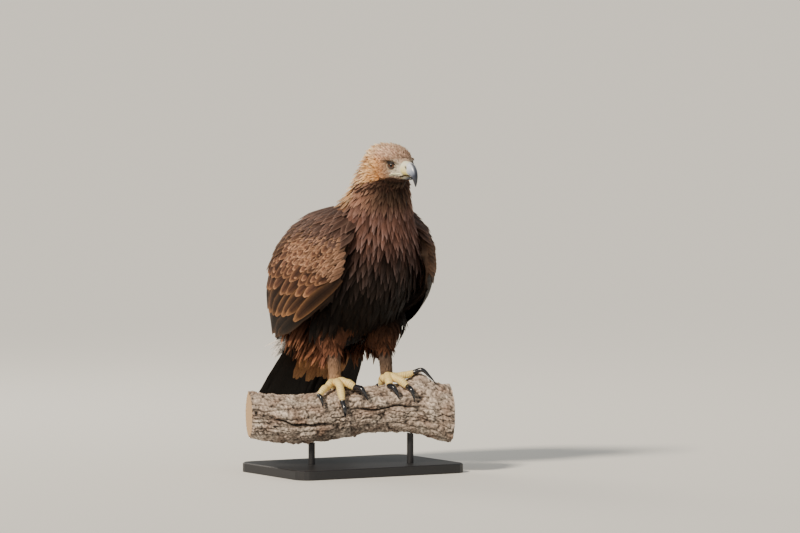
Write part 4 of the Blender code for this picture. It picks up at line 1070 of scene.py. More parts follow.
def head_coat(coat):
    """The short feathers of the crown, face and chin."""
    def wanted(spots):
        local = in_head(spots)
        on_head = (spots[:, 2] > 0.412) & (local[:, 0] > -0.050) & (local[:, 0] < 0.0505)
        return on_head & (eye_distance(local) > EYE_CLEARANCE)

    def spacing(spots):
        return 0.0017 + 0.0012 * smooth_step(-in_head(spots)[:, 0], -0.040, 0.040)

    roots, normals, lie = coat.scatter(spacing, wanted)
    local = in_head(roots)
    back = smooth_step(-local[:, 0], -0.042, 0.030)
    crown = smooth_step(local[:, 2], 0.000, 0.026)
    length = (0.0050 + 0.0100 * back + 0.0016 * crown) * generator.uniform(0.85, 1.2, len(roots))
    stand = generator.random(len(roots)) ** 1.5
    tips = 0.0009 + (0.0066 * back + 0.0042 * crown) * stand
    lines, ups = coat.combed(roots, normals, lie, length, 0.0004, tips, 5)
    half = (0.0010 + 0.0011 * back) * generator.uniform(0.85, 1.2, len(roots))
    cheek = blend_colours(((0.0, "#9A8474"), (0.30, "#B27C56"), (0.6, "#CC8C52"), (1.0, "#CC9660")), back)
    top = blend_colours(((0.0, "#BA9280"), (0.5, "#D0A48E"), (1.0, "#D8AC86")), back)
    # Painted shadow: brow_shade darkens a line of feathers under the brow.
    chin, shade = chin_share(local), brow_shade(local)
    lore = lore_share(local) * (1.0 - shade)
    # The chin's wash is partly its own dark brown and partly painted shade under the bill.
    base = washed(cheek, (crown, top), (chin, CHIN_BROWN_AND_SHADE), (shade, BROW_SHADOW), (lore, LORE_PALE))
    stage = along_vane(0.26, 0.50, 0.88, 1.15, 1.35)
    stage = stage + (1.0 - stage) * 0.75 * lore[:, None, None]
    share = (0.15 + 0.85 * np.maximum(back, 0.9 * crown)) * (0.20 + 0.80 * stand) * (1.0 - chin) * (1.0 - lore)
    pale = along_vane(0.0, 0.0, 0.12, 0.45, 0.85) * share[:, None, None]
    lay_feathers("head_feathers", "contour feather, short and golden", "golden_hackles", lines, ups, half, CROWN,
                 washed(base[:, None] * stage, (pale, GOLD_TIP)), 0.26, 10.0, across=2, camber=0.15)


def hackle_coat(coat):
    """The long pointed hackles of the nape and the sides of the neck."""
    def wanted(spots):
        local = in_head(spots)
        low = 0.330 + 0.045 * front_share(spots)
        return (spots[:, 2] > low) & ((spots[:, 2] < 0.432) | (local[:, 0] < -0.020)) & (local[:, 2] < 0.034)

    def spacing(spots):
        return 0.0046 + 0.0034 * smooth_step(-spots[:, 2], -0.46, -0.35)

    roots, normals, lie = coat.scatter(spacing, wanted)
    low = smooth_step(-roots[:, 2], -0.475, -0.350)
    front = front_share(roots)
    length = (0.020 + 0.024 * low) * generator.uniform(0.8, 1.2, len(roots))
    stand = generator.random(len(roots)) ** 1.4
    tips = 0.0040 + (0.0120 * (1.0 - front) + 0.0035 * front) * stand * (1.0 - 0.25 * low)
    lines, ups = coat.combed(roots, normals, lie, length, 0.001, tips, 7)
    half = (0.0023 + 0.0026 * low) * generator.uniform(0.85, 1.2, len(roots))
    dark = smooth_step(-roots[:, 2], -0.418, -0.374)
    high = smooth_step(roots[:, 2], 0.378, 0.410)
    throat = smooth_step(front, 0.40, 0.85)
    # Painted shadow: the front of the upper throat, under the bill and chin, is darkened at base and tip.
    under = front_share(roots, 0.35, 0.90) * smooth_step(roots[:, 2], 0.375, 0.410)
    base = washed(GOLD, (dark, "#5A3A2E"), (throat, washed("#5C4038", (high, "#825C4C"))), (under, "#32241B"))
    tip = washed(GOLD_TIP, (dark, "#94705C"), (throat, washed("#8A6C66", (high, "#B48E78"))), (under, "#5A463A"))
    stage = along_vane(0.22, 0.34, 0.60, 0.90, 1.05, 1.18, 1.25)
    pale = along_vane(0.0, 0.0, 0.05, 0.15, 0.38, 0.72, 0.95) * (0.35 + 0.65 * stand)[:, None, None]
    lay_feathers("nape_hackles", "hackle, long and pointed", "golden_hackles", lines, ups, half, LANCE,
                 washed(base[:, None] * stage, (pale, tip[:, None])), 0.16, 10.0, across=2, camber=0.30)


def body_coat(coat):
    """The breast, belly and mantle: broad pointed feathers that hang and overlap."""
    def wanted(spots):
        leg = (spots[:, 2] < 0.150) & (np.abs(spots[:, 0]) > 0.018) & (spots[:, 1] < 0.09)
        return (spots[:, 2] < 0.372) & (spots[:, 2] > 0.085) & ~cloaked(spots) & ~leg

    roots, normals, lie = coat.scatter(0.0086, wanted)
    low = smooth_step(-roots[:, 2], -0.355, -0.205)
    length = (0.048 + 0.016 * low) * generator.uniform(0.8, 1.2, len(roots))
    stand = generator.random(len(roots))
    flank = smooth_step(np.abs(roots[:, 0]), 0.050, 0.085) * smooth_step(-roots[:, 2], -0.35, -0.30)
    tips = COAT_DEPTH - 0.002 + 0.0055 * stand + 0.016 * flank * stand
    lines, ups = coat.combed(roots, normals, lie, length * (1.0 + 0.2 * flank), 0.0015, tips, 8)
    half = (0.0064 + 0.0022 * low) * generator.uniform(0.8, 1.2, len(roots))
    # The breast darkens downwards to near black on the belly: its own dark brown, deepened low down with painted
    # shade.
    breast = blend_colours(((0.0, "#604238"), (0.22, "#422B24"), (0.45, "#261812"), (0.8, "#1A110C"),
                            (1.0, "#140D09")), low)
    back = blend_colours(((0.0, "#5E4030"), (1.0, "#3A281E")), low)
    base = washed(back, (front_share(roots), breast))
    stage = along_vane(0.30, 0.42, 0.62, 0.85, 1.0, 1.10, 1.20, 1.35)
    # The upper breast's raised feathers get pale lilac-grey tips: partly their paler edges, partly a painted sheen
    # highlight.
    rim = along_vane(0.0, 0.0, 0.0, 0.0, 0.05, 0.12, 0.30, 0.55) * ((1.0 - low) * stand)[:, None, None]
    lay_feathers("body_feathers", "contour feather, dark brown", "dark_plumage", lines, ups, half, BREAST,
                 washed(base[:, None] * stage, (rim, "#A08A88")), 0.30, 7.0, across=4, camber=0.25, ragged=0.16)


def trouser_coat(coat):
    """The loose rufous feathers of the thighs, which hang over the heels."""
    def wanted(spots):
        leg = (np.abs(spots[:, 0]) > 0.012) & (spots[:, 1] < 0.125)
        return (spots[:, 2] < 0.185) & (spots[:, 2] > 0.078) & leg & ~cloaked(spots)

    roots, normals, lie = coat.scatter(0.0056, wanted)
    rear = smooth_step(roots[:, 1], 0.0, 0.07)
    length = (0.025 + 0.034 * rear) * generator.uniform(0.8, 1.2, len(roots))
    tips = 0.005 + 0.006 * generator.random(len(roots))
    lines, ups = coat.combed(roots, normals, lie, length, 0.0015, tips, 7)
    half = 0.0042 * generator.uniform(0.8, 1.25, len(roots))
    # Painted light: the trouser feathers are lighter towards the bird's right, the sunlit side.
    outer = smooth_step(-roots[:, 0], -0.02, 0.06)
    high = smooth_step(roots[:, 2], 0.105, 0.150) * (1.0 - rear)
    base = blend_colours(((0.0, "#241710"), (0.5, "#583828"), (1.0, "#7C5240")), 0.35 + 0.40 * rear + 0.25 * outer)
    stage = along_vane(0.40, 0.60, 0.80, 0.95, 1.1, 1.2, 1.35)
    lay_feathers("trouser_feathers", "trouser feather, loose and rufous", "rufous_trousers", lines, ups, half,
                 LANCE, washed(base, (high, "#1C130D"))[:, None] * stage, 0.18, 12.0, across=2, camber=0.25,
                 ragged=0.2)


# A flank tuft is rooted on an oval: how many feathers, its middle on the left side and its reach each way.
FLANK_COUNT = 240
FLANK_MIDDLE = np.array((0.056, 0.092, 0.142))
FLANK_REACH = np.array((0.034, 0.040, 0.036))
# A tuft of down: how many strands, and the middle of their roots and tips on the left side.
DOWN_COUNT = 70
DOWN_ROOT = np.array((0.070, 0.140, 0.110))
DOWN_TIP = np.array((0.100, 0.186, 0.064))


def flank_tufts():
    """Long loose rufous feathers that hang from the flanks and the vent between wing and tail."""
    along = np.linspace(0.0, 1.0, 8)
    made = []
    for way in WAYS:
        out = generator.normal(0.0, 1.0, (FLANK_COUNT, 3))
        out /= np.linalg.norm(out, axis=1, keepdims=True)
        roots = FLANK_MIDDLE * (way, 1.0, 1.0) + out * FLANK_REACH * generator.uniform(0.7, 1.0, (FLANK_COUNT, 1))
        side = smooth_step(roots[:, 0] * way, 0.045, 0.085)[:, None]
        flow = np.array((0.10 * way, 0.36, -0.92)) + np.array((0.30 * way, 0.06, 0.0)) * side
        flow = flow + generator.normal(0.0, 0.10, flow.shape)
        flow /= np.linalg.norm(flow, axis=1, keepdims=True)
        length = generator.uniform(0.050, 0.085, FLANK_COUNT)
        lines = roots[:, None] + flow[:, None] * (length[:, None] * along)[..., None]
        lines[..., 2] -= 0.010 * along ** 2
        lines += (out * 0.010)[:, None] * np.sin(math.pi * along)[None, :, None]
        made.append((lines, np.broadcast_to((out + np.array((0.8 * way, 0.5, 0.3)))[:, None], lines.shape)))
    lines, ups = (np.concatenate(parts) for parts in zip(*made))
    colours = blend_colours(((0.0, "#1E140E"), (0.4, "#4A3024"), (0.8, "#744A36"), (1.0, "#96684C")), along)
    half = generator.uniform(0.0050, 0.0085, len(lines))
    lay_feathers("flank_tufts", "flank feather, loose", "rufous_trousers", lines, ups, half, LANCE,
                 np.repeat(colours[None], len(lines), axis=0), 0.28, 14.0, across=3, ragged=0.25)


def down_tufts():
    """A loose pale grey tuft of down that shows behind each flank."""
    along = np.linspace(0.0, 1.0, 7)
    part = along[None, :, None]
    sets = []
    for way in WAYS:
        roots = DOWN_ROOT * (way, 1.0, 1.0) + generator.normal(0.0, 0.007, (DOWN_COUNT, 3))
        tips = DOWN_TIP * (way, 1.0, 1.0) + generator.normal(0.0, 0.012, (DOWN_COUNT, 3))
        lines = roots[:, None] * (1.0 - part) + tips[:, None] * part
        sets.append(lines + generator.normal(0.0, 0.004, (DOWN_COUNT, 1, 3)) * np.sin(math.pi * part))
    lines = np.concatenate(sets)
    ups = np.array((0.0, -0.6, 0.6)) + np.sign(lines[:, :1, :1]) * np.array((0.8, 0.0, 0.0))
    ups = ups + generator.normal(0.0, 0.35, ups.shape)
    colours = blend_colours(((0.0, "#8A827C"), (0.5, "#C4BEBA"), (1.0, "#E2DEDA")), along)
    half = generator.uniform(0.0024, 0.0050, len(lines))
    lay_feathers("down_tufts", "down, loose and pale grey", "rufous_trousers", lines, ups, half, LANCE,
                 np.repeat(colours[None], len(lines), axis=0), 0.15, across=2, ragged=0.3)


def shank_coat(coat):
    """The short dense feathers that clothe the shanks down to the toes."""
    def wanted(spots):
        near = np.zeros(len(spots), bool)
        for way in WAYS:
            foot = np.array(leg_place(way))
            near |= np.hypot(spots[:, 0] - foot[0], spots[:, 1] - foot[1] - 0.006) < 0.024
        return (spots[:, 2] < 0.100) & (spots[:, 2] > 0.006) & near

    roots, normals, lie = coat.scatter(0.0026, wanted)
    length = 0.0125 * generator.uniform(0.8, 1.2, len(roots))
    tips = TARSUS_COAT * generator.uniform(0.5, 1.1, len(roots))
    lines, ups = coat.combed(roots, normals, lie, length, 0.0006, tips, 4)
    half = 0.0017 * generator.uniform(0.85, 1.2, len(roots))
    base = blend_colours(((0.0, "#BE9A78"), (0.03, "#9A7A60"), (0.07, "#6E564A"), (0.1, "#503C30")), roots[:, 2])
    # Painted shade: the left shank's feathers are darkened and greyed, as if in the shade of the breast.
    base = np.where((roots[:, 0] > 0.0)[:, None], 0.42 * base + 0.10 * srgb("#8A8480"), base)
    lay_feathers("shank_feathers", "shank feather, short and dense", "leg_feathers", lines, ups, half, SHORT,
                 base[:, None] * along_vane(0.55, 0.85, 1.05, 1.25), 0.12, across=2)


# ---------------------------------------------------------------- eyes, bill and feet
# Between these distances from the eye's axis the pupil ends, the iris lightens and the iris ends.
PUPIL_EDGE = (0.0028, 0.0031)
IRIS_RISE = (0.0030, 0.0052)
IRIS_EDGE = (0.0056, 0.0066)
DOME_RISE, DOME_SPREAD = 0.045, 0.42  # the clear front's height over the eyeball, and its width as an angle
IRIS_BROWN, IRIS_RING, EYE_BACK = (srgb(code) for code in ("#6E4A32", "#1C120C", "#2A1A10"))
# Each lid gives its piece, radius, height above and below as shares of that, and colour.
LIDS = (
    ("lid_margins", 0.0072, 0.56, 0.80, "#1E1714"),
    ("lid_rims", 0.0086, 0.72, 0.90, "#8A7462"),
)
LID_THICK = 0.0012
LID_STANDS_OFF = 0.0004


def eye_axes(way):
    """The eye's middle, the way it looks, and the directions along and up across it, in the head's frame."""
    look = Vector((EYE_LOOK[0], EYE_LOOK[1] * way, EYE_LOOK[2])).normalized()
    along = Z_AXIS.cross(look).normalized()
    return mirrored(EYE_PLACE, way), look, along, look.cross(along)


def heading(path, index):
    """The way that a path runs at one of its points."""
    return (path[min(index + 1, len(path) - 1)] - path[max(index - 1, 0)]).normalized()


def tube_rings(path, sizes, sides, flat=1.0, up_hint=Z_AXIS):
    """Rings of a round bar along a path, which may be flattened."""
    rings = []
    for index, point in enumerate(path):
        ahead = heading(path, index)
        side = ahead.cross(up_hint).normalized()
        up = side.cross(ahead)
        rings.append(oval(point, side, up, sizes[index], sizes[index] * flat, sizes[index] * flat, sides))
    return rings


def closed_band(rows, sides, last):
    """Faces between rows of points, each row a ring of sides. The last row joins the next or the first one."""
    faces = []
    for row in range(last):
        low, high = row * sides, (row + 1) % rows * sides
        for step in range(sides):
            after = (step + 1) % sides
            faces.append((low + step, high + step, high + after, low + after))
    return faces


def model_eye(way, side, material, rings=60, sides=64):
    """The eyeball with its amber iris, black pupil and clear, slightly domed front."""
    middle, look, along, up = eye_axes(way)
    points, tints = [], []
    for ring in range(rings + 1):
        polar = math.pi * ring / rings
        reach = EYE_RADIUS * (1.0 + DOME_RISE * math.exp(-(polar / DOME_SPREAD) ** 2))
        across = math.sin(polar) * EYE_RADIUS
        edge = smooth_step(across, *IRIS_EDGE)
        for step in range(sides):
            spin = 2.0 * math.pi * step / sides
            out = (along * math.cos(spin) + up * math.sin(spin)) * math.sin(polar) + look * math.cos(polar)
            points.append(HEAD @ (middle + out * reach))
            streak = 0.82 + 0.30 * noise.noise(Vector((math.cos(spin) * 9.0, math.sin(spin) * 9.0, across * 260.0)))
            iris = IRIS_BROWN * (0.50 + 0.65 * smooth_step(across, *IRIS_RISE)) * streak
            tone = iris * (1.0 - edge) + IRIS_RING * edge
            tints.append(tone * smooth_step(across, *PUPIL_EDGE) if 2 * ring < rings else EYE_BACK)
    eye = mesh_piece("eyeball_" + side, points, closed_band(rings + 1, sides, rings))
    paint(eye, np.array(tints))
    finish_piece(eye, material, "eye", "eye_" + side)


def lid_form(way, radius, top, low, count=48, sides=10):
    """One ring of lid round the eye, flattened above where the brow presses on it."""
    middle, look, along, up = eye_axes(way)
    path = []
    for step in range(count):
        angle = 2.0 * math.pi * step / count
        tall = top if math.sin(angle) > 0.0 else low
        ahead = max(-way * math.cos(angle), 0.0)
        across = along * (radius * (1.04 + 0.16 * ahead ** 3) * math.cos(angle))
        across += up * (radius * tall * math.sin(angle) - 0.0006 * ahead ** 2)
        deep = math.sqrt(max((EYE_RADIUS + LID_STANDS_OFF) ** 2 - across.length_squared, 1e-8))
        path.append(HEAD @ (middle + across + look * deep))
    points = []
    centre = sum(path, Vector()) / count
    for index, point in enumerate(path):
        ahead = (path[(index + 1) % count] - path[index - 1]).normalized()
        out = point - centre
        out = (out - ahead * out.dot(ahead)).normalized()
        points += oval(point, out, ahead.cross(out), LID_THICK, LID_THICK * 0.8, LID_THICK * 0.8, sides)
    return points, [face[::-1] for face in closed_band(count, sides, count)]


def model_lids():
    """Dark lid margins against the eye and paler bare rims outside them, both darkened above with painted shade
    from the brow.
    """
    skin_stuff = tinted_material("eyelid skin, bare")
    for name, radius, top, low, code in LIDS:
        item = mesh_piece(name, *joined([lid_form(way, radius, top, low) for way in WAYS]))
        local = in_head(corners(item))
        # Painted shade: the lids' upper parts are darkened as if under the brow.
        high = smooth_step(local[:, 2] - EYE_PLACE.z + 0.35 * (local[:, 0] - EYE_PLACE.x), 0.0010, 0.0040)
        paint(item, washed(code, (high, "#1A120D")))
        finish_piece(item, skin_stuff, "yellow_skin")


def bill_rings(rows, count, sides):
    """Rings of a bill piece between its culmen and its lower edge."""
    rings = []
    for top_f, top_z, low_f, low_z, half in dense(rows, count)[:, 1:]:
        top, low = Vector((top_f, 0.0, top_z)), Vector((low_f, 0.0, low_z))
        up = (top - low) / 2.0
        ring = oval((top + low) / 2.0, Y_AXIS, up.normalized(), half, up.length, up.length, sides, 2.15)
        rings.append([HEAD @ point for point in ring])
    return rings


def mouth_path(way, rise=0.0, count=26, push=0.0):
    """The line of the mouth from the corner of the gape to the cere."""
    points = []
    for step in range(count):
        part = step / (count - 1)
        point = GAPE_CORNER.lerp(GAPE_FRONT, part)
        bend = math.sin(math.pi * part)
        point += Vector((0.0, 0.0032 * bend + push, 0.0034 * bend + rise))
        points.append(HEAD @ mirrored(point, way))
    return points


NOSTRIL_LEAN = math.radians(38.0)
NOSTRIL_HALF = (0.0024, 0.0070, 0.0042)
NOSTRIL_DEPTH = 0.0016
# Each lip gives how far it lies above the line of the mouth, and its thickness.
LIPS = ((0.0012, 0.0014), (-0.0012, 0.0006))


def model_cere():
    """The cere with its slit nostrils, yellow below and paler above."""
    cere = mesh_piece("cere_skin", *loft(bill_rings(CERE_ROWS, 44, 72)))
    points = corners(cere)
    local = in_head(points)
    tone = washed("#E8D88E", (smooth_step(local[:, 2], -0.018, 0.004), "#E9E4CC"),
                  (smooth_step(local[:, 0], 0.0665, 0.0715) * 0.7, "#C9CDD6"))
    cosine, sine = math.cos(NOSTRIL_LEAN), math.sin(NOSTRIL_LEAN)
    # The nostril slits are sunk a little and painted near black: painted shade inside them.
    for way in WAYS:
        ahead, out, rise = (local - np.array(mirrored(NOSTRIL_PLACE, way))).T
        off = np.stack([ahead * cosine + rise * sine, out, rise * cosine - ahead * sine], -1) / NOSTRIL_HALF
        near = np.exp(-(off ** 2).sum(axis=1) ** 1.8)
        tone = washed(tone, (near, "#0C0907"))
        points += near[:, None] * np.array(HEAD.to_3x3() @ Vector((0.0, -way, 0.0))) * NOSTRIL_DEPTH
    cere.data.vertices.foreach_set("co", (points + np.array(SHIFT)).astype(np.float32).ravel())
    paint(cere, tone)
    finish_piece(cere, tinted_material("cere, waxy skin"), "yellow_skin", "cere")


def model_bill():
    """The hooked upper bill, slate at its root and black at its tip, and the lower bill."""
    horn = tinted_material("bill horn, polished by use")
    upper = mesh_piece("bill_horn", *loft(bill_rings(BILL_ROWS, 70, 48)))
    local = in_head(corners(upper))
    far = (local[:, 0] - 0.0700) * 0.55 + (0.004 - local[:, 2]) * 0.95
    # Painted shade: a dark band along the culmen's ridge towards the tip.
    ridge = smooth_step(-np.abs(local[:, 1]), -0.0050, -0.0022) * smooth_step(local[:, 0], 0.0700, 0.0790)
    tone = blend_colours(((0.000, "#DFE3EA"), (0.016, "#C9D0DE"), (0.027, "#8A92A6"), (0.036, "#34384A"),
                          (0.050, "#16181E")), far)
    paint(upper, washed(tone, (0.85 * ridge, "#272A34")))
    finish_piece(upper, horn, "slate_horn", "bill_upper")

    lower = mesh_piece("lower_bill_horn", *loft(bill_rings(JAW_ROWS, 30, 36)))
    ahead = in_head(corners(lower))[:, 0]
    # The lower bill turns black at its tip, and is painted darker overall as shade under the upper bill.
    paint(lower, blend_colours(((0.050, "#8E8468"), (0.060, "#7E7C72"), (0.070, "#3E4048"), (0.079, "#1C1E24")),
                               ahead))
    finish_piece(lower, horn, "slate_horn", "bill_lower")


def model_gape(count=26):
    """The soft pale flanges along the mouth, and its dark line between them."""
    parts = np.linspace(0.0, 1.0, count)
    swell = 0.25 + 0.85 * np.sin(math.pi * (0.10 + 0.62 * parts))
    lips = [loft(tube_rings(mouth_path(way, rise), (size * swell).tolist(), 14, 0.8))
            for way in WAYS for rise, size in LIPS]
    seams = [loft(tube_rings(mouth_path(way, 0.0, push=0.0006), [0.0006] * count, 8)) for way in WAYS]
    for name, forms, code, stuff in (
            ("gape_flange", lips, "#FAF2C8", "gape flange, soft and pale yellow"),
            ("mouth_line", seams, "#1C1410", "mouth line, in shade")):
        item = mesh_piece(name, *joined(forms))
        paint(item, srgb(code))
        finish_piece(item, tinted_material(stuff), "yellow_skin")


# Each toe gives its name, its end along the branch and its wrap angle,
# then the same for the claw tip, and the toe's and claw's thickness.
TOES = {
    1.0: (
        ("hallux", -0.006, -42.0, -0.020, -66.0, 0.0092, 0.0068),
        ("inner", 0.000, 36.0, 0.018, 66.0, 0.0094, 0.0066),
        ("middle", 0.038, 42.0, 0.050, 74.0, 0.0088, 0.0056),
        ("outer", 0.058, 4.0, 0.100, 18.0, 0.0080, 0.0050),
    ),
    -1.0: (
        ("hallux", 0.004, -40.0, 0.010, -84.0, 0.0092, 0.0068),
        ("inner", 0.038, 33.0, 0.062, 66.0, 0.0094, 0.0066),
        ("middle", 0.006, 62.0, 0.012, 96.0, 0.0088, 0.0056),
        ("outer", -0.042, 40.0, -0.034, 66.0, 0.0080, 0.0050),
    ),
}
FOOT_VOXEL = 0.0008
PAD_HEIGHT, PAD_HALF, PAD_DEPTH = 0.0115, 0.0160, 0.0165
SCUTE_LENGTH = 0.0038
TOE_STEPS = 64
# A toe's thickness at even places from the foot to the claw, thinner at each joint.
TOE_SWELL = (1.05, 0.98, 1.02, 0.90, 1.0, 0.86, 0.62)
# The creases' colour is painted shade between the scutes.
CREASE_SHADE, SCUTE_YELLOW, CLAW_BLACK = "#A8844A", "#F6DC92", "#1E1F25"


def toe_path(way, toe, count=7):
    """Points along a toe on the bark, from the middle of the foot to the claw's root."""
    _, reach, wrap, _, _, thick, _ = toe
    points = []
    for step in range(count):
        part = step / (count - 1)
        lift = thick * (1.15 - 0.30 * part) + 0.004 * (1.0 - part) + 0.0035 * math.sin(math.pi * part)
        points.append(perch_point(FOOT_REACH * way + reach * part, wrap * part, lift))
    return points


def scutes_on(path):
    """How many plates a toe carries along its top."""
    return max(int(sum((b - a).length for a, b in zip(path, path[1:])) / SCUTE_LENGTH), 5)


def toe_rings(way, toe, sides=26):
    """Rings of a toe with plate-like scutes above and pads below."""
    path = toe_path(way, toe, TOE_STEPS)
    sizes = fit_shape(TOE_SWELL, TOE_STEPS)
    scutes = scutes_on(path)
    rings = []
    for index, point in enumerate(path):
        part = index / (TOE_STEPS - 1)
        ahead = heading(path, index)
        side = ahead.cross(Z_AXIS).normalized()
        up = side.cross(ahead)
        size = toe[5] * sizes[index]
        plate = abs(math.sin(math.pi * scutes * part)) ** 0.45
        pad = abs(math.sin(math.pi * (3.0 * part + 0.15))) ** 0.7
        ring = []
        for step in range(sides):
            angle = 2.0 * math.pi * step / sides
            above, below = max(math.sin(angle), 0.0), max(-math.sin(angle), 0.0)
            radius = size * (0.93 + 0.085 * plate * above ** 0.6 + 0.10 * pad * below)
            ring.append(point + (side * math.cos(angle) + up * math.sin(angle)) * radius)
        rings.append(ring)
    return rings


def foot_tint(points, way):
    """Yellow toes, with painted shade in the creases between scutes and paler on the scutes."""
    best = np.full(len(points), 9.0)
    place = np.zeros(len(points))
    for toe in TOES[way]:
        path = toe_path(way, toe, TOE_STEPS)
        line = np.array([tuple(point) for point in path])
        far = np.linalg.norm(points[:, None] - line[None], axis=2)
        near = far.min(axis=1)
        place = np.where(near < best, far.argmin(axis=1) / (TOE_STEPS - 1) * scutes_on(path), place)
        best = np.minimum(near, best)
    return washed(CREASE_SHADE, (np.abs(np.sin(math.pi * place)) ** 0.5, SCUTE_YELLOW))


def claw_rings(way, toe, count=30):
    """Rings of a curved claw from the toe's tip down to the bark."""
    _, reach, wrap, tip_along, tip_wrap, thick, size = toe
    root = toe_path(way, toe)[-2]
    path, sizes = [], []
    for step in range(count):
        part = step / (count - 1)
        lift = thick * 0.80 * (1.0 - part) + 0.011 * math.sin(math.pi * part) + 0.0010
        path.append(perch_point(FOOT_REACH * way + reach + (tip_along - reach) * part,
                                wrap + (tip_wrap - wrap) * part, lift))
        sizes.append(size * (1.02 - 0.90 * part ** 1.9))
    path[0] = path[0].lerp(root, 0.35)
    path[1] = path[1].lerp(root, 0.12)
    side = (path[-1] - path[0]).cross(path[count // 2] - path[0]).normalized()
    return tube_rings(path, sizes, 20, 1.0, side)


def model_feet():
    """Both feet: four scaled toes each, and glossy black claws."""
    scales = tinted_material("toe scales, waxy yellow")
    claw_horn = tinted_material("claw horn, glossy black")
    for way, side in SIDES:
        centre = perch_point(FOOT_REACH * way, 0.0, 0.011)
        pad = []
        for turn in np.linspace(-1.45, 1.45, 14):
            half, deep = PAD_HALF * math.cos(turn), PAD_DEPTH * math.cos(turn)
            pad.append(oval(centre + Z_AXIS * (PAD_HEIGHT * math.sin(turn)), X_AXIS, Y_AXIS, half, deep, deep, 24))
        forms = [loft(pad)] + [loft(toe_rings(way, toe)) for toe in TOES[way]]
        foot = remeshed("scaled_foot_" + side, forms, FOOT_VOXEL, 1)
        paint(foot, foot_tint(corners(foot), way))
        finish_piece(foot, scales, "yellow_skin", "foot_" + side)
        for toe in TOES[way]:
            claw = mesh_piece("claw_horn_" + toe[0] + "_" + side, *loft(claw_rings(way, toe)))
            paint(claw, srgb(CLAW_BLACK))
            finish_piece(claw, claw_horn, "dark_horn", "claw_" + toe[0] + "_" + side)


# ---------------------------------------------------------------- wings and tail
# Each tier gives its name, rows and feathers in a row, the first and last root and tip of its first row and of
# its last row as turn and height, the half width, the lifts of root and tip, its shape and its colours.
WING_TIERS = (
    ("mantle", 4, 13, ((-50, 0.378), (88, 0.366), (-42, 0.344), (84, 0.328)),
     ((-44, 0.352), (84, 0.336), (-32, 0.310), (80, 0.290)), 0.0125, (-0.002, 0.0085), BREAST, "mantle"),
    ("shoulder", 3, 7, ((-56, 0.354), (-18, 0.354), (-51, 0.312), (-12, 0.316)),
     ((-55, 0.330), (-16, 0.336), (-49, 0.286), (-10, 0.298)), 0.0115, (-0.006, 0.0065), BREAST, "mantle"),
    ("scapulars", 7, 11, ((-26, 0.356), (86, 0.340), (-12, 0.322), (84, 0.296)),
     ((4, 0.316), (85, 0.262), (24, 0.236), (83, 0.190)), 0.0140, (-0.004, 0.0070), BREAST, "scapular"),
    ("marginal_coverts", 10, 21, ((-51, 0.316), (-2, 0.342), (-46, 0.300), (3, 0.326)),
     ((-54, 0.240), (-10, 0.282), (-46, 0.224), (-4, 0.264)), 0.0050, (-0.0055, 0.0040), BREAST, "marginal"),
    ("lesser_coverts", 6, 11, ((-46, 0.304), (12, 0.340), (-40, 0.276), (18, 0.306)),
     ((-53, 0.244), (26, 0.292), (-40, 0.216), (32, 0.252)), 0.0092, (-0.006, 0.0040), ROUND, "lesser"),
    ("median_coverts", 2, 12, ((-50, 0.256), (40, 0.286), (-33, 0.212), (46, 0.236)),
     ((-50, 0.238), (48, 0.270), (-28, 0.188), (54, 0.206)), 0.0124, (-0.0042, 0.0034), ROUND, "median"),
    ("greater_coverts", 1, 17, ((-52, 0.226), (76, 0.262), (-14, 0.140), (80, 0.164)), None,
     0.0142, (-0.0044, 0.0026), ROUND, "greater"),
    ("secondaries", 1, 14, ((-46, 0.196), (80, 0.230), (8, 0.096), (82, 0.104)), None,
     0.0165, (-0.0046, 0.0012), FLIGHT, "flight"),
    ("primaries", 1, 9, ((-40, 0.202), (10, 0.152), (78, 0.050), (50, 0.080)), None,
     0.0130, (-0.0075, -0.0055), FLIGHT, "primary"),
    ("wing_lining", 5, 11, ((-52, 0.300), (30, 0.330), (-38, 0.262), (34, 0.288)),
     ((-50, 0.232), (30, 0.250), (-24, 0.176), (40, 0.180)), 0.0125, (-0.0150, -0.0200), BREAST, "lining"),
)
# The dark middle, the broad edge and the very tip of each kind of feather.
WING_COLOURS = {
    "mantle": ("#42302A", "#604840", "#886C60"),
    "scapular": ("#38261D", "#5A4034", "#84664E"),
    "marginal": ("#745645", "#A07A62", "#C69C80"),
    "lesser": ("#4A332A", "#7E5846", "#B48868"),
    "median": ("#38261F", "#684636", "#A67A5A"),
    "greater": ("#2A1C15", "#543828", "#A27550"),
    "flight": ("#1A120D", "#281C15", "#604632"),
    "lining": ("#2A1C14", "#4A3426", "#6A4E3A"),
    "primary": ("#0E0B09", "#15100D", "#241B14"),
}
LEFT_WING_SHADE = (0.25, 0.80)        # painted shade: the left wing's coverts are darkened feather by feather, so they read duller and more flecked than the right one's
WING_ACROSS = 6                      # strips across a wing or tail feather


def spread_over(first, last, start, row, spot):
    """Places as turn and height for each feather, between the corners of its tier that begin at an index."""
    begin = [np.array(first[start + index], float) for index in (0, 1)]
    close = [np.array(last[start + index], float) for index in (0, 1)]
    near, far = (begin[end] + (close[end] - begin[end]) * row[:, None] for end in (0, 1))
    return near + (far - near) * spot[:, None]


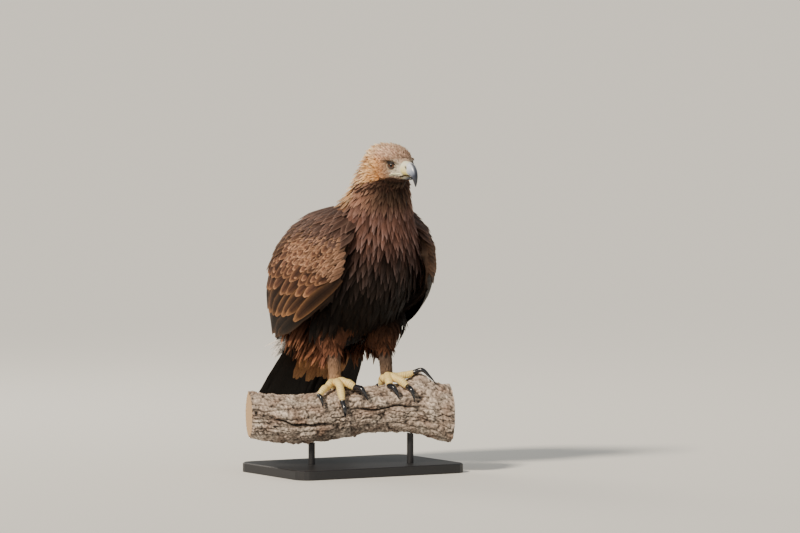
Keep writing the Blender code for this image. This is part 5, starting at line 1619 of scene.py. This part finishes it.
def model_wing(way, side):
    """A folded wing: tiers of coverts and flight feathers that overlap down the cloak."""
    made = []
    for name, rows, count, first, last, half, lifts, shape, kind in WING_TIERS:
        total = rows * count
        order = np.repeat(np.arange(rows), count)
        row = order / max(rows - 1, 1)
        spot = (np.tile(np.arange(count), rows) + 0.5 * (order % 2)) / (count - 0.5)
        root, tip = (spread_over(first, last or first, start, row, spot) for start in (0, 2))
        tip = tip + generator.normal(0.0, 1.0, tip.shape) * np.array((0.8, 0.0028))
        stations = 14 if shape is FLIGHT else 9
        along = np.linspace(0.0, 1.0, stations)
        turn = root[:, :1] + (tip - root)[:, :1] * along
        height = root[:, 1:] + (tip - root)[:, 1:] * along
        rise = lifts[0] + (lifts[1] - lifts[0]) * along ** 0.7
        rise = rise[None, :] + generator.normal(0.0, 0.0004, (total, 1)) + 0.0012 * (1.0 - row[:, None])
        face, out = cloak_face(way, turn, height), cloak_normal(way, turn, height)
        size = half * generator.uniform(0.92, 1.08, total) * (1.0 + (0.25 * row if name == "scapulars" else 0.0))
        middle, edge, pale = (srgb(code) for code in WING_COLOURS[kind])
        colours = middle + (edge - middle) * (np.clip((along - 0.55) / 0.45, 0.0, 1.0) ** 1.5)[:, None]
        colours = colours + (pale - colours) * (np.clip((along - 0.88) / 0.12, 0.0, 1.0) ** 1.2)[:, None]
        colours = np.repeat(colours[None], total, axis=0)
        # Painted shade: the left wing's coverts are darkened, as on the side away from the sun.
        if way > 0.0 and kind in ("marginal", "lesser", "median", "greater"):
            colours = colours * generator.uniform(*LEFT_WING_SHADE, (total, 1, 1))
        unwrap = np.stack([0.5 + way * (0.02 + (turn[:, 0] + 60.0) / 360.0), 0.02 + (height[:, 0] + 0.08) / 0.52],
                          -1)
        made.append((name, face + out * rise[..., None], out, size, shape, tone_vary(colours, 0.18),
                     np.clip(unwrap, 0.0, 1.0)))
    items = []
    for name, lines, out, size, shape, colours, unwrap in made:
        item = vanes(name + "_" + side, lines, out, size, shape, colours, across=WING_ACROSS, camber=0.16,
                     ragged=0.07, roll=-6.0 * way, unwrap=unwrap)
        rim_colours(item, colours)
        items.append(item)
    return items


def rim_colours(item, colours):
    """Paler rims along both edges of each wing feather, wider towards its tip."""
    count, stations = colours.shape[:2]
    layer = item.data.color_attributes["tint"]
    full = np.empty(count * stations * (WING_ACROSS + 1) * 4, np.float32)
    layer.data.foreach_get("color", full)
    full = full.reshape(count, stations, WING_ACROSS + 1, 4)
    edge = np.abs(np.linspace(-1.0, 1.0, WING_ACROSS + 1)) ** 3
    share = (edge[None, :] * (0.15 + 0.6 * np.linspace(0.0, 1.0, stations)[:, None] ** 1.5))[None, :, :, None]
    full[..., :3] = full[..., :3] * (1.0 - share) + colours[:, -1][:, None, None] * share
    layer.data.foreach_set("color", full.ravel())


def tail_place(swing, reach, lift):
    """A point of the tail at a swing from its middle line and a reach from its root."""
    angle = np.radians(swing)
    side = TAIL_ROOT_HALF * swing / TAIL_HALF_FAN + reach * np.sin(angle)
    return (TAIL_ROOT + TAIL_AHEAD * (reach * np.cos(angle))[..., None] + TAIL_UP * lift[..., None]
            + np.array((1.0, 0.0, 0.0)) * side[..., None])


def tail_tract(name, swings, roots, tips, lifts, half, shape, stops, roll=0.0, stations=12, vary=0.1):
    """A row of tail feathers or coverts from arrays of their swings, reaches and lifts."""
    count = len(swings)
    along = np.linspace(0.0, 1.0, stations)
    reach = roots[:, None] + (tips - roots)[:, None] * along
    lift = lifts[0][:, None] + (lifts[1] - lifts[0])[:, None] * along ** 0.8
    lines = tail_place(swings[:, None] * (0.88 + 0.12 * along), reach, lift)
    ups = np.broadcast_to(TAIL_UP, lines.shape) * (1.0 if lifts[1].mean() > -0.004 else -1.0)
    colours = np.repeat(blend_colours(stops, along)[None], count, axis=0)
    unwrap = np.stack([0.3 + 0.012 * swings, 0.05 + roots * 0.8 + 0.004 * np.arange(count) / count], -1)
    return vanes(name, lines, ups, np.full(count, half), shape, tone_vary(colours, vary), across=WING_ACROSS,
                 camber=0.12, ragged=0.08, roll=roll, unwrap=np.clip(unwrap, 0.0, 1.0))


# The tail feathers' overlap: the middle ones lie on top, each a step above its outer neighbour.
TAIL_COUNT = 12
TAIL_STEP = 0.0021
# Each row of coverts gives its name, how many, how far they swing, the first and last reach of their roots and
# tips, the lift of roots and tips, the half width, the shape and the colours.
TAIL_COVERTS = (
    ("uppertail_coverts", 26, 3.8, (0.000, 0.050), (0.070, 0.150), (0.004, 0.0175), 0.0135, BREAST,
     ((0.0, "#2A1D15"), (0.7, "#4A3324"), (1.0, "#7A5A40"))),
    ("undertail_coverts", 84, 2.9, (0.000, 0.090), (0.080, 0.195), (-0.010, -0.0260), 0.0115, ROUND,
     ((0.0, "#3E281C"), (0.5, "#7E5236"), (1.0, "#C08C60"))),
)


def model_tail():
    """Twelve long tail feathers, the coverts above and the fluffy coverts below."""
    middle = (TAIL_COUNT - 1) / 2.0
    index = np.arange(TAIL_COUNT)
    off = (index - middle) / middle
    layer = middle + 0.5 - np.abs(index - middle)
    layer[TAIL_COUNT // 2 - 1] -= 1.0
    lift = TAIL_STEP * (layer - 2.0)
    tips = TAIL_LENGTH - 0.010 * off ** 2 + generator.uniform(-0.002, 0.002, TAIL_COUNT)
    items = [tail_tract("tail_feathers", TAIL_HALF_FAN * off, np.full(TAIL_COUNT, 0.020), tips, (lift, lift),
                        0.0212, RECTRIX, ((0.0, "#3A3028"), (0.35, "#2A221C"), (1.0, "#141210")), stations=26)]
    for name, count, wide, root, tip, lifts, half, shape, stops in TAIL_COVERTS:
        order = generator.random(count)
        swings = generator.uniform(-wide, wide, count)
        roots = root[0] + (root[1] - root[0]) * order
        tips = tip[0] + (tip[1] - tip[0]) * order
        ends = lifts[1] * (1.0 - 0.35 * order) * generator.uniform(0.85, 1.1, count)
        items.append(tail_tract(name, swings, roots, tips, (np.full(count, lifts[0]), ends), half, shape, stops,
                                roll=generator.normal(0.0, 6.0, count), vary=0.15))
    return items


def rump_rings():
    """The rump's wedge that carries the tail feathers."""
    rings = []
    for reach, half, above, below in dense(RUMP_ROWS, 12)[:, 1:]:
        middle = Vector(tail_place(np.array(0.0), np.array(reach), np.array(0.0)))
        rings.append(oval(middle, X_AXIS, Vector(TAIL_UP), half, above, below, 28, 2.6))
    return rings


# ---------------------------------------------------------------- skin tones, floor and stand
def finish_skin(skin):
    """Add the wings' arms and the rump to the skin, and paint what shows of it between feathers."""
    extra = mesh_piece("wing_arms", *joined([loft(arm_rings(way)) for way in WAYS] + [loft(rump_rings())]))
    bpy.context.view_layer.objects.active = skin
    with bpy.context.temp_override(active_object=skin, selected_editable_objects=[skin, extra]):
        bpy.ops.object.join()
    points = corners(skin)
    height = points[:, 2]
    local = in_head(points)
    ahead, rise = local[:, 0], local[:, 2]
    eyes = eye_distance(local)
    face = (ahead > 0.018) & (height > 0.42)
    tint = blend_colours(((0.10, "#2A1C14"), (0.34, "#3A271D"), (0.40, "#6A452C"), (0.45, "#9A6A44")), height)
    lore = lore_share(local) * face
    rim = smooth_step(-eyes, -0.0150, -0.0120)
    # Painted shade from the brow: lid_shade darkens the skin just above the eye, and brow_shade its line under the
    # brow.
    lid_shade = smooth_step(-eyes, -0.0150, -0.0130) * smooth_step(rise, 0.000, 0.003)
    # The skin's chin is darkened partly as its own colour and partly as painted shade under the bill.
    chin = chin_share(local - (0.0, 0.0, 0.002)) * (ahead > -0.01) * (height > 0.38)
    throat = front_share(points) * smooth_step(height, 0.33, 0.36) * smooth_step(-rise, 0.026, 0.032)
    forehead = smooth_step(ahead, 0.040, 0.044) * smooth_step(rise, 0.002, 0.005)
    # Painted shade: the skin under the front of the bill, inside the mouth, is darkened.
    under_bill = smooth_step(ahead, 0.044, 0.047) * smooth_step(-rise, 0.0205, 0.0225)
    wing = (smooth_step(np.abs(points[:, 0]), 0.08, 0.11) * smooth_step(height, 0.20, 0.22)
            * smooth_step(-height, -0.345, -0.325) * smooth_step(-points[:, 1], 0.02, 0.05))
    paint(skin, washed(tint, (lore, "#D6CDB8"), (rim, "#9C8468"), (lid_shade, "#20150F"),
                       (brow_shade(local) * face, "#20150F"), (chin, "#241812"), (throat, "#241812"),
                       (forehead, "#B49A86"), (under_bill, "#2A1A14"), (wing, "#5A4232")))
    finish_piece(skin, tinted_material("bird skin under down"), "dark_plumage", "torso", "neck", "head",
                 "wing_left", "wing_right", "thigh_left", "thigh_right", "tarsus_left", "tarsus_right", "tail")


def set_floor(half=400.0):
    """A wide pale floor under the stand."""
    edges = [Vector((x * half, y * half, 0.0)) for x, y in ((-1, -1), (1, -1), (1, 1), (-1, 1))]
    floor = mesh_piece("floor", edges, [(0, 1, 2, 3)], Vector((0.0, 0.0, 0.0)))
    # Painted board, unpolished: it takes a soft shadow and shows no gleam.
    floor.data.materials.append(
        new_material("studio floor, matt", Roughness=0.9, Base_Color=(*srgb("#E4E4E1"), 1.0))[0])


def paint_stand():
    """Steel under baked powder paint: satin, almost black, with dimples about 1.1 mm wide."""
    stuff, tree, shader = new_material("stand, black powder coat with a fine orange peel", Roughness=0.48)
    coords = add(tree, "ShaderNodeTexCoord").outputs["Object"]
    peel = add(tree, "ShaderNodeTexNoise", {"Scale": per_metre(1.111), "Detail": 2.0}, {"Vector": coords})
    tone = add(tree, "ShaderNodeValToRGB", links={"Fac": peel.outputs["Fac"]},
               stops=((0.3, "#1C1C1E"), (0.7, "#26262A")))
    tree.links.new(tone.outputs["Color"], shader.inputs["Base Color"])
    dimple = add(tree, "ShaderNodeBump", {"Strength": 0.3, "Distance": 0.0003}, {"Height": peel.outputs["Fac"]})
    tree.links.new(dimple.outputs["Normal"], shader.inputs["Normal"])
    for item in bpy.data.objects:
        if item.type == "MESH" and item.name.startswith("stand_"):
            for slot in item.material_slots:
                slot.material = stuff


# ---------------------------------------------------------------- run
set_camera()
set_light()
set_floor()

skin = model_skin()
coat = Coat(skin)
head_coat(coat)
hackle_coat(coat)
body_coat(coat)
trouser_coat(coat)
flank_tufts()
down_tufts()
shank_coat(coat)

wing_stuff = feather_material("wing covert, brown with pale rim")
for way, side in SIDES:
    for item in model_wing(way, side):
        finish_piece(item, wing_stuff, "wing_feathers")
tail_stuff = feather_material("tail feather, near black")
vent_stuff = feather_material("undertail covert, rufous and soft")
for item in model_tail():
    under = item.name.startswith("undertail")
    finish_piece(item, vent_stuff if under else tail_stuff, "rufous_trousers" if under else "tail_feathers")
finish_skin(skin)

eye_stuff = tinted_material("eye, clear over an amber iris")
for way, side in SIDES:
    model_eye(way, side, eye_stuff)
model_lids()
model_cere()
model_bill()
model_gape()
model_feet()
model_branch()
paint_stand()
